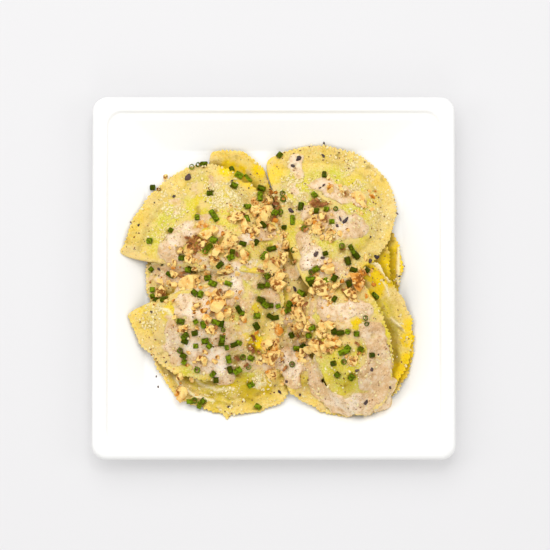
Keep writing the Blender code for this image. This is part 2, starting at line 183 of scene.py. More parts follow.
# Streaks and pools of sauce: how thick it lies, and points as x, y and half width in mm.
SAUCE = (
    (1.0, ((-50, -12, 4), (-46, -17, 5), (-38, -19, 5), (-30, -14, 5), (-24, -8, 5))),
    (1.0, ((-47, -27, 5), (-43, -34, 6), (-40, -41, 6), (-34, -48, 6))),
    (1.2, ((-30, -38, 5), (-30, -46, 6), (-28, -53, 4.5))),
    (0.9, ((-36, -24, 4), (-30, -30, 5), (-22, -36, 4))),
    (0.9, ((-62, 3, 4), (-52, 0, 4), (-42, -3, 4), (-32, -6, 4))),
    (0.9, ((-26, 8, 3), (-18, 4, 4), (-10, 0, 4))),
    (0.9, ((-56, -26, 2), (-57, -31, 3), (-57, -37, 4))),
    (1.1, ((9, -21, 3), (14, -25, 3.4), (20, -27, 2.8))),
    (0.8, ((-4, 45, 1.4), (-1, 38, 2), (2, 30, 2.2), (4, 22, 2.2), (7, 12, 2.2), (8, 2, 2))),
    (1.1, ((-35, 34, 2.2), (-40, 30, 3.2), (-47, 26, 4), (-54, 22, 4.5), (-58, 16, 5), (-56, 10, 4))),
    (1, ((-67, 5, 2.8), (-61, 2, 4.5), (-55, -1, 4), (-50, -5, 3))),
    (1.2, ((-2, 26, 1.8), (-10, 23, 2.6), (-17, 21, 2.2))),
    (1.15, ((-22, 2, 3.5), (-22, 1, 4.5), (-22, -7, 4), (-25, -12, 3))),
    (0.9, ((-42, 54, 1.1), (-43, 47, 1.5))),
    (0.9, ((-35, 56, 1.8), (-33, 51, 2))),
    (0.9, ((-55, 43, 0.9), (-53, 36, 1.4))),
    (0.9, ((-48, 12, 3), (-40, 7, 3.5), (-27, 7, 3.5), (-19, 8, 3))),
    (1.1, ((12, 66, 2.4), (14, 59, 3))),
    (1.1, ((22, 51, 2.2), (29, 51, 4), (34, 47, 4), (40, 45, 3.5), (47, 42, 2.3))),
    (0.9, ((11, 50, 2.3), (17, 45, 2.3))),
    (1.15, ((19, 37, 3), (23, 33, 3), (34, 32, 4.3), (42, 29, 5.2), (45, 27, 4))),
    (0.9, ((26, 23, 3), (33, 22, 3.3), (41, 24, 3.5))),
    (1.2, ((16, 22, 4), (19, 16, 4), (23, 11, 5), (19, 7, 4))),
    (0.9, ((26, 7, 5), (34, 4, 4), (39, 1, 4))),
    (0.9, ((-52, -12, 3.5), (-49, -17, 4), (-42, -14, 3.2), (-35, -14, 3))),
    (1.1, ((-56, -28, 3.4), (-56, -36, 4.4), (-53, -43, 3.8))),
    (1.3, ((-47, -42, 4), (-40, -43, 5.5), (-32, -44, 6.2), (-28, -48, 6), (-27, -52, 4.5), (-24, -54, 2.5))),
    (0.9, ((-35, -38, 4), (-42, -30, 3.5), (-46, -27, 3))),
    (0.9, ((-22, -45, 4), (-17, -47, 3.5), (-10, -46, 3), (-4, -48, 2), (-4, -45, 2.5), (2, -44, 4))),
    (0.9, ((-18, -24, 2.5), (-22, -29, 3))),
    (1.6, ((8, -42, 3.4), (10, -48, 4.2), (10.8, -55, 4.7))),
    (0.9, ((8, -24, 3.8), (10, -29, 2.6))),
    (0.9, ((19, -14, 3), (18, -20, 2.4))),
    (1.1, ((17, -45, 3.8), (19, -49, 3))),
    (1.1, ((28, -10, 3.5), (28, -17, 3.5), (32, -21, 4), (39, -19, 3.5), (45, -17, 3.5), (50, -20, 3))),
    (0.9, ((34, -25, 2.3), (40, -27, 3))),
    (1.25, ((51, -30, 4), (56, -34, 5), (57, -40, 4.5), (56, -48, 6), (54, -55, 6.5), (60, -59, 5),
        (58, -66, 6), (52, -69, 5), (42, -70, 4), (34, -69, 4.3), (29, -66, 3.5), (25, -61, 2.8),
        (22, -55, 2.3), (20, -50, 2.5))),
    (0.9, ((42, -31, 2.6), (47, -34, 3.8))),
    (0.9, ((-2, -9, 2.6), (1, -14, 2))),
    (0.9, ((6, -33, 3), (12, -36, 3.5), (18, -37, 3))),
    (0.9, ((-46, -34, 3.5), (-40, -38, 4), (-34, -40, 3.5))),
    (0.9, ((42, -67, 2.5), (34, -66.5, 2))),
    (0.9, ((2, 14, 2), (6, 8, 2.5), (10, 2, 2.5))),
    (0.9, ((-34, 28, 2), (-30, 24, 2.5))),
    (0.9, ((30, -13, 3), (22, -11, 2.5))),
    (0.9, ((-12, -12, 1.6), (-16, -16, 2))),
    (0.9, ((41, -46, 2.2), (44, -48, 1.8))),
    (1, ((23, -44, 1.4), (24, -51, 1.6), (26, -58, 1.6))),
    (1.3, ((4, -44, 2.2), (9, -46, 2.2), (15, -46, 2.6))),
    (0.7, ((-15, 8, 2.5), (-8, 3, 3))),
    (0.7, ((-38, -4, 3), (-30, -3, 3), (-28, -14, 3))),
    (0.7, ((-14, -30, 3), (-18, -38, 3))),
    (0.7, ((24, -2, 3), (30, -8, 3))),
    (0.6, ((48, 8, 2.5), (44, 14, 2.5))),
    (0.7, ((6, 44, 2.5), (10, 40, 3), (14, 34, 3))),
    (0.6, ((-48, 2, 3), (-56, 8, 3))),
)

# Cut chives: x and y in mm, direction in degrees and length in mm. The shortest ones lie on a cut end.
CHIVES = (
    (3.2, 68.7, 50, 3.5), (-45.4, 62.1, 0, 1), (-41.9, 63.2, 0, 1.6), (-38.6, 63.7, 0, 4.5),
    (-23.2, 60.4, 110, 3), (-19.1, 57.1, -30, 5), (-14.4, 55.2, -50, 6), (27.9, 57.4, 90, 4),
    (-67.1, 50.8, 0, 2.8), (-35, 46.7, 0, 4), (-21.8, 51.1, -25, 4.5), (-7.5, 45.3, 90, 6),
    (-6.7, 50.3, -20, 5), (4.8, 47, 0, 1.4), (22.4, 45.9, -45, 3.5), (-14.4, 39.3, 5, 4.2),
    (3.7, 36.8, 0, 1.2), (5.2, 43.7, 0, 1.7), (14.9, 39.3, 80, 4.8), (23.5, 36.4, 0, 3),
    (29, 37.4, -10, 3), (34, 37.6, 0, 1.8), (-42.1, 33, 90, 3.3), (-32.8, 33.8, -58, 8.5),
    (-14.7, 32.1, -70, 5), (-5.9, 29.4, -45, 5), (0.4, 36, 60, 4), (5.7, 28, 0, 2.7), (10.3, 31.9, 90, 6),
    (31.8, 30.2, 0, 3.4), (-68.5, 20.6, 0, 3.2), (-56.7, 26.1, 60, 3), (-32.8, 20.1, -20, 4.5),
    (16.6, 26.7, 0, 1.5), (-37.5, 14, 0, 1.5), (-35.6, 16.2, 40, 5), (-22.6, 13.5, 80, 3),
    (-16.9, 18, -15, 4.4), (-9.7, 19, 60, 4), (-1.2, 15.9, 15, 6), (10.6, 15.1, 0, 1.2),
    (28.2, 12.6, 20, 3.2), (37.3, 16.8, 0, 1.4), (42.8, 15.1, -60, 6), (-67.7, 5.2, 45, 2.5),
    (-50.7, 10.7, 0, 3.5), (-47.1, 4.4, -10, 3.3), (-29.5, 6.3, 40, 5), (-23.5, 10.4, 30, 4.5),
    (-5.3, 11.8, 60, 6), (23.2, 4.1, 30, 4), (40.6, 8.5, -75, 5), (45.2, 11.8, -50, 5),
    (50.7, 4.1, -40, 4), (-57.3, 1.9, -35, 5.5), (-36.1, -0.3, 10, 4.2), (-33.4, -3.6, -20, 5),
    (-24.8, -3.8, -20, 4.8), (-3.7, 0.8, -60, 4), (20.2, -1.4, 0, 6), (20.5, 2.5, 0, 1.6),
    (21, -3.3, 30, 5), (28.5, -2.7, -60, 3.5), (33.1, -1.1, 60, 4.5), (43.6, 3.6, -20, 4.5),
    (-67.1, -6, 90, 3), (-67.1, -9.6, 20, 2.2), (-60.3, -11.8, 10, 5), (-43.2, -8.8, -40, 4),
    (-40.2, -9.6, 70, 4), (-7, -4.9, 0, 4.5), (-3.4, -4.1, -20, 3), (15, -8.5, -35, 4.5),
    (41.1, -4.1, -70, 3.5), (55.7, -10.2, -40, 5), (-65, -12.1, 45, 3.5), (-19.1, -17.9, -60, 5),
    (-17.4, -19.8, -20, 3), (-7, -12.4, -20, 5), (-4.8, -14.8, -40, 5), (-1.5, -15.4, 0, 3),
    (2.4, -15.7, 20, 2.5), (7.9, -17.9, 30, 4.5), (8.7, -14.6, 70, 4), (33.1, -12.4, 60, 3.8),
    (-50.9, -24.5, -10, 4.4), (-42.7, -24.7, -60, 2.5), (-38.6, -26.4, -75, 4.5), (-31.7, -25, -20, 5),
    (-28.7, -25.8, 80, 4.5), (-9.5, -26.7, -60, 4.5), (-9.2, -21.2, 0, 4), (-2, -21.2, -30, 4),
    (0.7, -22, 10, 5), (50.2, -22.8, 0, 1.3), (50.8, -26.1, 0, 1.5), (-48.7, -32.4, 45, 5),
    (-48.7, -35.4, -20, 4), (-43.2, -31, 10, 3.6), (-37.5, -35.2, 10, 4.3), (-28.1, -33.8, 85, 5),
    (-27.6, -29.1, 0, 1.3), (-19.1, -36, -20, 3.5), (9.8, -31.3, -60, 3.5), (19.7, -31.9, 0, 4.6),
    (21, -28, 20, 4), (32.9, -30.2, 0, 3), (36.4, -31, 10, 4.5), (40.3, -30.5, -20, 3),
    (45.2, -31.6, 90, 3.3), (-51.5, -40.1, 0, 2), (-49.6, -43.1, -30, 4), (-42.7, -37.9, 0, 3),
    (-35.3, -37.9, 45, 3.5), (-28.7, -36.5, 0, 3.5), (-25.7, -38.7, -80, 3), (-21.8, -37.1, 20, 4.5),
    (-16.9, -43.7, 0, 1.5), (12.8, -38.5, 0, 4.5), (16.1, -37.4, 20, 3), (38.4, -41.2, 20, 7.5),
    (40.3, -39.3, -45, 4), (47.4, -39.8, -30, 3.5), (53.7, -43, 5, 3.5), (-49.3, -46.2, -30, 3),
    (-42.1, -50.8, 0, 1.9), (-24.8, -44.8, -80, 5), (-24, -50.6, -70, 4.5), (-19.9, -51.1, 30, 5.5),
    (-13.8, -49.2, 0, 1.2), (-12.5, -44.2, -25, 4), (10.1, -47.5, 0, 1.7), (32.6, -47.5, 10, 3.4),
    (38.2, -46.7, 0, 1), (-33.4, -53, 45, 4), (-31.7, -56.3, 0, 3.3), (-12.5, -58.8, 30, 4.4),
    (34.7, -53.7, -45, 3.3), (42.5, -55.2, 50, 3.8), (-46.3, -67.9, 0, 4), (-43.8, -67.3, 0, 1.5),
    (-38.8, -67.3, 45, 3), (-41, -69.8, 80, 4.5), (-8.6, -70.6, -35, 4.4),
)

# Pieces of walnut: x, y and radius in mm, and the tone: 0 cream, 1 golden brown, 2 orange.
WALNUTS = (
    (15, -24.6, 2.6, 1), (19, -28.4, 2.2, 0), (11.4, -28, 2.2, 0),
    (46.9, 44.2, 2.6, 0), (-10.8, 36.5, 2.8, 0), (-4.2, 37.1, 2.6, 0), (-3.1, 38.2, 2, 0),
    (-2.6, 42.6, 2.8, 0), (49.1, 40.4, 2, 0), (-19.6, 32.7, 3, 0), (-16.3, 29.9, 2.6, 0),
    (-7.5, 29.9, 2, 0), (-6.4, 34.9, 3.6, 0), (18.8, 29.9, 2, 1), (21, 31.6, 2.2, 0),
    (23.2, 28.8, 2.4, 1), (26.5, 32.7, 2.4, 0), (-36.7, 22.8, 3, 0), (-32.3, 25.6, 2, 0),
    (-22.9, 20.6, 2.6, 0), (-15.8, 26.7, 2.6, 1), (-11.4, 25, 2.6, 0), (-1.5, 27.7, 2.2, 0),
    (24.3, 26.1, 2.8, 0), (30.9, 24.5, 2, 0), (-51.5, 14.6, 1.8, 0), (-46, 15.1, 2.8, 0),
    (-38.8, 17.9, 2, 0), (-30.6, 14.3, 3.2, 1), (-25.7, 18.7, 3.9, 0), (6.2, 17.9, 2, 1),
    (-46, 10.2, 2.8, 0), (-32.8, 8.8, 2.4, 1), (-24.6, 4.1, 1.8, 0), (-16.3, 11.3, 2.6, 0),
    (-4.2, 10.7, 2.4, 0), (1.8, 8, 2.2, 0), (4.6, 10.7, 2.8, 0), (27.6, 4.7, 2.2, 0), (30.9, 4.1, 2.8, 1),
    (-54.8, -3.8, 2, 0), (-46.5, -3, 3.8, 0), (-42.7, 0.8, 2.6, 0), (2.4, -0.3, 3, 0),
    (46.3, -1.9, 3.6, 2), (47.4, 1.9, 2.8, 2), (-31.7, -9.6, 2.6, 0), (-25.1, -9.6, 2.2, 0),
    (1.8, -4.1, 3.4, 1), (21, -8, 2.6, 0), (24.9, -6.3, 4, 0), (27.6, -4.7, 2.6, 0), (33.1, -5.8, 2, 0),
    (42.5, -9.6, 3, 1), (-42.1, -15.7, 1.8, 1), (-30.1, -15.1, 4.4, 0), (-25.1, -19.5, 2.4, 0),
    (11.2, -17.9, 2.4, 0), (13.4, -12.9, 3.9, 1), (14.5, -19.5, 3.8, 0), (30.4, -12.4, 1.8, 0),
    (-37.2, -23.4, 2.4, 1), (-30.1, -20.1, 3.2, 1), (-16.9, -22.3, 2, 0), (2.9, -27.7, 2.4, 2),
    (27.6, -27.2, 2.2, 0), (30.9, -26.7, 2.2, 0), (-49.3, -28.3, 2.4, 1), (-34.5, -29.9, 2.6, 0),
    (15.6, -33.8, 2, 0), (22.1, -35.4, 2.2, 1), (25.4, -31, 2, 0), (32, -34.3, 2.8, 0),
    (-4.2, -36.5, 2.8, 0), (-0.9, -42.6, 4, 0), (0.2, -38.2, 2.6, 1), (16.1, -41.5, 2.2, 0),
    (19.9, -39.3, 2.6, 0), (23.2, -39.3, 3, 0), (27.6, -38.7, 2.6, 0), (30.4, -37.1, 2.4, 0),
    (34.2, -36.5, 2.2, 0), (-40.5, -44.2, 1.6, 1), (-38.3, -45.3, 1.8, 0), (-4.2, -44.2, 2.8, 0),
    (43.6, -45.9, 2.4, 0), (-51.5, -54.1, 2, 0), (-1.5, -53, 2.6, 0), (-51.5, -64.6, 3.2, 0),
    (-61.9, -7.7, 2.8, 1), (-60.3, 56.6, 1.5, 0), (30.9, 49.2, 2, 1), (-55, 2, 1.8, 0),
)

# Flakes of walnut skin and chips of dark mushroom: x, y and length in mm.
SKINS = (
    (-43.8, 19.5, 5), (-41.6, 15.1, 4), (-40.9, 20.6, 3.5), (23.2, 40.9, 4.5), (28.2, 40.4, 4),
    (1.3, 41.5, 3.5), (-7.5, 3.6, 3.5), (-50.4, 0.8, 4), (-0.4, 9.1, 4), (37.5, 15.1, 3),
    (-42.7, -15.4, 3.5), (-32.3, -28.3, 4), (-20.2, -44.2, 3.8), (0.7, -35.4, 3.6), (29.8, -40.4, 3.6),
    (45.8, -37.1, 3.2), (6.2, -49.7, 3.2), (16.1, -43.1, 3), (39.2, 45.9, 3), (11.7, 8.5, 2.5),
    (-64.1, 50, 2.5), (28.2, 32.1, 3.4), (-11.4, -39.3, 4), (-47, 21.5, 3), (-45.5, 17.6, 3.4), (-42.4, 22, 3),
    (-41, 18, 3.6), (-39.4, 16.4, 3), (-44, 15.8, 3), (-46.6, 19, 3.2), (-43, 13, 3), (-38.5, 20, 3), (21, 42, 3),
    (24.2, 42.6, 3), (26.4, 40.4, 3.4), (22.2, 39.4, 2.6), (1.2, 44, 3), (2.5, 39, 2.6), (-11, -33, 4), (-13, -38, 3.4),
    (-8, -41, 3), (18, 26, 3), (31, 20, 3), (-20, 12, 3), (-26, 2, 3), (33, -38.5, 3), (25, -36, 3), (13, -31, 3),
    (38, -8, 3), (46, -6, 3), (-60, -9.4, 4), (-62.5, -6, 3.4), (-15, -48, 3), (-33, -19, 3), (5, 4, 3), (0, 33, 3),
    (-17, 35, 3), (-50, 3, 3), (-30, -8, 3), (17, -15, 3), (-6, 32, 3),
)
CHIPS = (
    (-65, -53.9, 1.1), (-63.8, -59.6, 1.2), (27.9, 75.3, 1.6),
    (-47.6, 56.3, 4.2), (-55.1, 45.6, 2), (-66, 42.3, 1.2), (-74.6, 29.4, 1.7), (-63.3, 5.2, 2.2),
    (-23.2, 53.9, 1.5), (-13.9, 49.7, 1.5), (13.4, 66.5, 3), (10.6, 62.4, 2.5), (27.4, 68.1, 2.2),
    (27.6, 51.1, 2), (25.4, 49.7, 1.5), (38.9, 30.8, 4), (36.4, 31.6, 2.5), (34.8, 27.8, 2.2),
    (9.5, 37.6, 3), (57.9, 45.1, 1.2), (53.2, 22.5, 1.5), (23.2, 12.4, 3.5), (26.8, 10.2, 2),
    (52.9, 8.8, 3), (56.2, 11.5, 4), (69.4, 1.4, 1.3), (68.3, 36.3, 1.5), (-67.1, -18.7, 1.6),
    (-36.9, -19.5, 1.6), (-59.2, -45.9, 1.5), (-24.6, -70.9, 2), (50.7, -68.4, 3.2), (63.9, -60.2, 2),
    (45.8, -51.4, 2), (53.5, -50.8, 2.5), (7, -56.9, 1.8), (3.5, -62.9, 2.5), (14.5, -64.3, 2),
    (11.4, -5.8, 2.5), (5.7, -42.6, 1.5), (57.3, -42.6, 1.3),
)

# Where grated cheese lies: x, y and radius in mm, and how thickly.
CHEESE = (
    (45, 55, 15, 1.0), (-28, 44, 14, 0.8), (-8, -55, 8, 0.7), (62, -46, 7, 0.8), (-55, 40, 14, 0.45),
    (30, 60, 10, 0.5), (-30, -64, 16, 0.2), (60, 35, 12, 0.4), (-65, -20, 12, 0.3), (20, -66, 12, 0.3),
    (-60, 30, 12, 0.4), (10, 50, 12, 0.5),
)


# ---- Sizes and colours that a user may change ----

class PlateSettings(bpy.types.PropertyGroup):
    """Sizes and colour of the fibre plate."""

    wall: bpy.props.FloatProperty(
        name="Wall", description="Thickness of the pressed fibre", default=0.0012, unit="LENGTH")
    lip: bpy.props.FloatProperty(
        name="Lip", description="Width of the flat lip", default=0.0082, unit="LENGTH")
    floor_half: bpy.props.FloatProperty(
        name="Half floor", description="Half the width of the flat floor", default=0.069, unit="LENGTH")
    corner_steps: bpy.props.IntProperty(
        name="Corner steps", description="Faces round each corner", default=14)
    colour: bpy.props.FloatVectorProperty(
        name="Fibre", description="Colour of the fibre", default=(0.90, 0.90, 0.89), subtype="COLOR")


class PastaSettings(bpy.types.PropertyGroup):
    """How the ravioli are finished."""

    around: bpy.props.IntProperty(
        name="Points around", description="Points round the edge of one raviolo", default=432)
    rim: bpy.props.FloatProperty(
        name="Rim", description="Width of the sealed rim", default=0.0082, unit="LENGTH")
    sheet: bpy.props.FloatProperty(
        name="Rim thickness", description="Thickness of the sealed rim", default=0.0018, unit="LENGTH")
    mound: bpy.props.FloatProperty(
        name="Mound", description="Height of the filling under the dough", default=0.0068, unit="LENGTH")
    tooth_pitch: bpy.props.FloatProperty(
        name="Tooth pitch", description="Distance between two teeth of the cut rim", default=0.0024,
        unit="LENGTH")
    tooth_depth: bpy.props.FloatProperty(
        name="Tooth depth", description="Depth of the teeth of the cut rim", default=0.00055,
        unit="LENGTH")
    crease: bpy.props.FloatProperty(
        name="Crease", description="Depth of the groove between the rim and the mound", default=0.0005,
        unit="LENGTH")
    wrinkle: bpy.props.FloatProperty(
        name="Wrinkles", description="Height of the wrinkles in the dough", default=0.00028,
        unit="LENGTH")
    pleat: bpy.props.FloatProperty(
        name="Pleats", description="Height of the pleats in the sealed rim", default=0.00045,
        unit="LENGTH")
    pale: bpy.props.FloatVectorProperty(
        name="Plain dough", description="Colour of plain dough", default=(0.750, 0.566, 0.212),
        subtype="COLOR")
    gold: bpy.props.FloatVectorProperty(
        name="Golden dough", description="Colour of the most golden dough", default=(0.90, 0.61, 0.002),
        subtype="COLOR")
    green: bpy.props.FloatVectorProperty(
        name="Filling", description="Colour of the dough over the green filling",
        default=(0.60, 0.575, 0.055), subtype="COLOR")
    # This colour paints shade in the gaps between ravioli and round the toppings, tinted like buttery juice.
    juice: bpy.props.FloatVectorProperty(
        name="Juice", description="Colour of the buttery juice in the gaps", default=(0.27, 0.158, 0.003),
        subtype="COLOR")
    # Also the colour of painted shade in the narrow gaps between rims.
    soaked: bpy.props.FloatVectorProperty(
        name="Soaked dough", description="Colour of dough soaked with butter", default=(0.50, 0.36, 0.012),
        subtype="COLOR")
    wander: bpy.props.FloatProperty(
        name="Wander", description="How far an edge wanders from its half-moon", default=0.0006,
        unit="LENGTH")
    film: bpy.props.FloatVectorProperty(
        name="Film", description="Colour of dough under a thin film of sauce", default=(0.76, 0.57, 0.235),
        subtype="COLOR")


class SauceSettings(bpy.types.PropertyGroup):
    """How deep the sauce lies and what colour it is."""

    depth: bpy.props.FloatProperty(
        name="Depth", description="Depth of the sauce", default=0.0010, unit="LENGTH")
    edge: bpy.props.FloatProperty(
        name="Edge", description="Width of the rounded edge", default=0.0032, unit="LENGTH")
    ragged: bpy.props.FloatProperty(
        name="Ragged", description="How far the edge wanders", default=0.0016, unit="LENGTH")
    colour: bpy.props.FloatVectorProperty(
        name="Sauce", description="Colour where the sauce is deep", default=(0.71, 0.477, 0.257),
        subtype="COLOR")
    milky: bpy.props.FloatVectorProperty(
        name="Milky sauce", description="Colour where the sauce is whitest", default=(0.87, 0.72, 0.545),
        subtype="COLOR")
    thin: bpy.props.FloatVectorProperty(
        name="Thin sauce", description="Colour where the sauce is thin", default=(0.71, 0.51, 0.18),
        subtype="COLOR")


class ToppingSettings(bpy.types.PropertyGroup):
    """Sizes and colours of what is strewn over the ravioli."""

    chive_radius: bpy.props.FloatProperty(
        name="Chive radius", description="Outer radius of a chive", default=0.00156, unit="LENGTH")
    chive_wall: bpy.props.FloatProperty(
        name="Chive wall", description="Thickness of a chive's wall", default=0.00045, unit="LENGTH")
    chive_dark: bpy.props.FloatVectorProperty(
        name="Dark chive", description="Darkest green", default=(0.020, 0.042, 0.0003), subtype="COLOR")
    chive_light: bpy.props.FloatVectorProperty(
        name="Light chive", description="Lightest green", default=(0.165, 0.250, 0.005), subtype="COLOR")
    chive_shade: bpy.props.FloatVectorProperty(
        name="Bruised chive", description="Olive brown of the bruised parts of a chive",
        default=(0.060, 0.046, 0.001), subtype="COLOR")
    nut_cream: bpy.props.FloatVectorProperty(
        name="Walnut", description="Colour of a broken walnut", default=(0.90, 0.645, 0.225),
        subtype="COLOR")
    nut_gold: bpy.props.FloatVectorProperty(
        name="Toasted walnut", description="Colour of toasted walnut", default=(0.64, 0.235, 0.026),
        subtype="COLOR")
    nut_skin: bpy.props.FloatVectorProperty(
        name="Walnut skin", description="Colour of walnut skin", default=(0.21, 0.060, 0.010),
        subtype="COLOR")
    cheese: bpy.props.FloatVectorProperty(
        name="Cheese", description="Colour of grated cheese", default=(0.86, 0.75, 0.42),
        subtype="COLOR")
    pepper: bpy.props.FloatVectorProperty(
        name="Pepper", description="Colour of ground pepper", default=(0.15, 0.065, 0.025),
        subtype="COLOR")
    mushroom: bpy.props.FloatVectorProperty(
        name="Mushroom", description="Colour of dark mushroom", default=(0.035, 0.022, 0.022),
        subtype="COLOR")
    nut_size: bpy.props.FloatProperty(
        name="Walnut size", description="Size of the walnut pieces, times their own", default=1.24)
    skin_size: bpy.props.FloatProperty(
        name="Skin size", description="Size of the flakes of walnut skin, times their own", default=1.0)
    chip_size: bpy.props.FloatProperty(
        name="Mushroom size", description="Size of the mushroom chips, times their own", default=1.0)
    crumbs: bpy.props.FloatProperty(
        name="Walnut crumbs", description="Crumbs per square centimetre at a walnut", default=21.0)
    flakes: bpy.props.FloatProperty(
        name="Cheese flakes", description="Flakes per square centimetre where cheese lies", default=170.0)
    grains: bpy.props.FloatProperty(
        name="Pepper grains", description="Grains per square centimetre", default=8.0)


class StageSettings(bpy.types.PropertyGroup):
    """The floor, the light and the camera."""

    floor: bpy.props.FloatVectorProperty(
        name="Floor", description="Colour of the floor", default=(0.460, 0.457, 0.463), subtype="COLOR")
    glow: bpy.props.FloatProperty(
        name="Floor glow", description="Light that the floor gives of itself, which softens the shadows",
        default=0.30)
    key: bpy.props.FloatProperty(
        name="Key light", description="Power of the large soft light", default=15.0, unit="POWER")
    side: bpy.props.FloatProperty(
        name="Side lights", description="Power of each soft light at the sides", default=3.8, unit="POWER")
    glint: bpy.props.FloatProperty(
        name="Glint", description="Power of the small light that wet places mirror", default=1.2,
        unit="POWER")
    sky: bpy.props.FloatProperty(
        name="Fill", description="Strength of the light from all round", default=0.62)
    distance: bpy.props.FloatProperty(
        name="Camera distance", description="From the plate's lip to the camera", default=2.0,
        unit="LENGTH")
    across: bpy.props.FloatProperty(
        name="View", description="Width that the camera sees at the lip", default=0.3022, unit="LENGTH")
    elevation: bpy.props.FloatProperty(
        name="Elevation", description="Angle of the camera above the horizon",
        default=math.radians(86.5), subtype="ANGLE")


# ---- Objects ----

def settings(context, group):
    return getattr(context.scene, "ravioli_" + group)


def mesh_from(name, points, faces):
    mesh = bpy.data.meshes.new(name)
    mesh.from_pydata(np.asarray(points).tolist(), [], faces)
    mesh.update()
    return mesh


def give(mesh, name, values, kind="FLOAT", domain="POINT"):
    """Stores a value on every point or face of a mesh."""
    layer = mesh.attributes.new(name, kind, domain)
    key = "vector" if kind == "FLOAT_VECTOR" else "value"
    layer.data.foreach_set(key, np.asarray(values, dtype=np.int32 if kind == "INT" else np.float32).ravel())


def add_piece(context, name, mesh, material=None, node=None, sharp=None):
    """Links a finished piece and ties it to the frame."""
    piece = bpy.data.objects.new(name, mesh)
    context.scene.collection.objects.link(piece)
    if material:
        mesh.materials.clear()
        mesh.materials.append(material)
    mesh.shade_smooth()
    if sharp is not None:
        mesh.set_sharp_from_angle(angle=sharp)
    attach(piece, BODY)
    if node:
        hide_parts(node)
    return piece


# ---- Heights on a grid over the plate ----

PITCH = 0.0005
HALF = 0.0985
AXIS = np.linspace(-HALF, HALF, int(round(2 * HALF / PITCH)) + 1)
GRID_X, GRID_Y = np.meshgrid(AXIS, AXIS)


def cell(value):
    return (value + HALF) / PITCH


def samples_in(triangle):
    """Rows, columns and heights of the grid points under one triangle."""
    (ax, ay, az), (bx, by, bz), (cx, cy, cz) = triangle
    area = (bx - ax) * (cy - ay) - (cx - ax) * (by - ay)
    if abs(area) < 1e-12:
        return None
    top = len(AXIS) - 1
    left = max(0, math.ceil(cell(min(ax, bx, cx))))
    right = min(top, math.floor(cell(max(ax, bx, cx))))
    low = max(0, math.ceil(cell(min(ay, by, cy))))
    high = min(top, math.floor(cell(max(ay, by, cy))))
    if right < left or high < low:
        return None
    x, y = np.meshgrid(AXIS[left:right + 1], AXIS[low:high + 1])
    wb = ((x - ax) * (cy - ay) - (cx - ax) * (y - ay)) / area
    wc = ((bx - ax) * (y - ay) - (x - ax) * (by - ay)) / area
    wa = 1 - wb - wc
    rows, columns = np.nonzero((wa >= -1e-6) & (wb >= -1e-6) & (wc >= -1e-6))
    heights = (wa * az + wb * bz + wc * cz)[rows, columns]
    return rows + low, columns + left, heights


def blurred(values, spread, weights=None):
    """A Gaussian mean over the grid points that have weight."""
    sigma = spread / PITCH
    reach = int(math.ceil(2.5 * sigma))
    taps = [(math.exp(-0.5 * (k / sigma) ** 2), k) for k in range(-reach, reach + 1)]
    weights = np.ones_like(values) if weights is None else weights
    total = [values * weights, weights]
    for axis in (0, 1):
        total = [sum(tap * np.roll(layer, k, axis=axis) for tap, k in taps) for layer in total]
    return np.where(total[1] > 1e-9, total[0] / np.maximum(total[1], 1e-9), values)


def sample(field, x, y):
    """Bilinear values of a field at points."""
    column = np.clip(cell(np.asarray(x)), 0, len(AXIS) - 1.001)
    row = np.clip(cell(np.asarray(y)), 0, len(AXIS) - 1.001)
    c, r = column.astype(int), row.astype(int)
    fc, fr = column - c, row - r
    near = field[r, c] * (1 - fc) + field[r, c + 1] * fc
    far = field[r + 1, c] * (1 - fc) + field[r + 1, c + 1] * fc
    return near * (1 - fr) + far * fr


def grain(seed, size):
    """A smooth random field, mean 0 and spread 1, whose bumps are about size across."""
    white = np.random.default_rng(seed).standard_normal(GRID_X.shape)
    field = blurred(white, size / 2.5)
    return (field - field.mean()) / field.std()


def spots(places, softness=0.5):
    """The strongest of round soft spots, each given as x, y, radius in mm and strength."""
    field = np.zeros_like(GRID_X)
    for x, y, radius, strength in places:
        away = np.hypot(GRID_X - x * MM, GRID_Y - y * MM) / (radius * MM)
        field = np.maximum(field, strength * np.clip((1 - away) / softness, 0, 1))
    return field


COLOURING = ("filling", "gold", "cream", "soaked")


class Heap:
    """The highest surface laid so far, where there is food, and the colouring of the dough on top."""

    def __init__(self):
        self.top = self.food = None
        self.colouring = {}


heap = Heap()


# ---- The plate ----

def plate_sections(sizes):
    """The upper surface as rows of half width, corner radius and height, from the floor to the lip's edge."""
    low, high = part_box("plate")
    edge, height = high.x, high.z
    well, shelf, floor = edge - sizes.lip, height - 0.0014, sizes.wall
    return np.array((
        (sizes.floor_half, 0.0140, floor),
        (sizes.floor_half + 0.0022, 0.0150, floor + 0.0006),
        (sizes.floor_half + 0.0052, 0.0150, floor + 0.0026),
        (well - 0.0045, 0.0107, shelf - 0.0024),
        (well - 0.0007, 0.0082, shelf - 0.0006),
        (well + 0.0003, 0.0082, height - 0.0004),
        (well + 0.0012, 0.0082, height),
        (edge - 0.0046, 0.0082, height),
        (edge - 0.0022, 0.0082, height - 0.0006),
        (edge - 0.0008, 0.0082, height - 0.0017),
        (edge, 0.0082, height - 0.0042),
    ))


def plate_profile(sizes, step=0.0004, passes=2):
    """The sections at even steps with their corners eased."""
    rows = plate_sections(sizes)
    run = np.concatenate([[0], np.cumsum(np.hypot(np.diff(rows[:, 0]), np.diff(rows[:, 2])))])
    wanted = np.linspace(0, run[-1], int(run[-1] / step))
    fine = np.column_stack([np.interp(wanted, run, rows[:, k]) for k in range(3)])
    for _ in range(passes):
        fine[1:-1] = 0.25 * fine[:-2] + 0.5 * fine[1:-1] + 0.25 * fine[2:]
    floor = [(half, 0.014 * half / sizes.floor_half, sizes.wall) for half in (0.004, 0.02, 0.036, 0.05, 0.06)]
    return np.vstack([floor, fine])


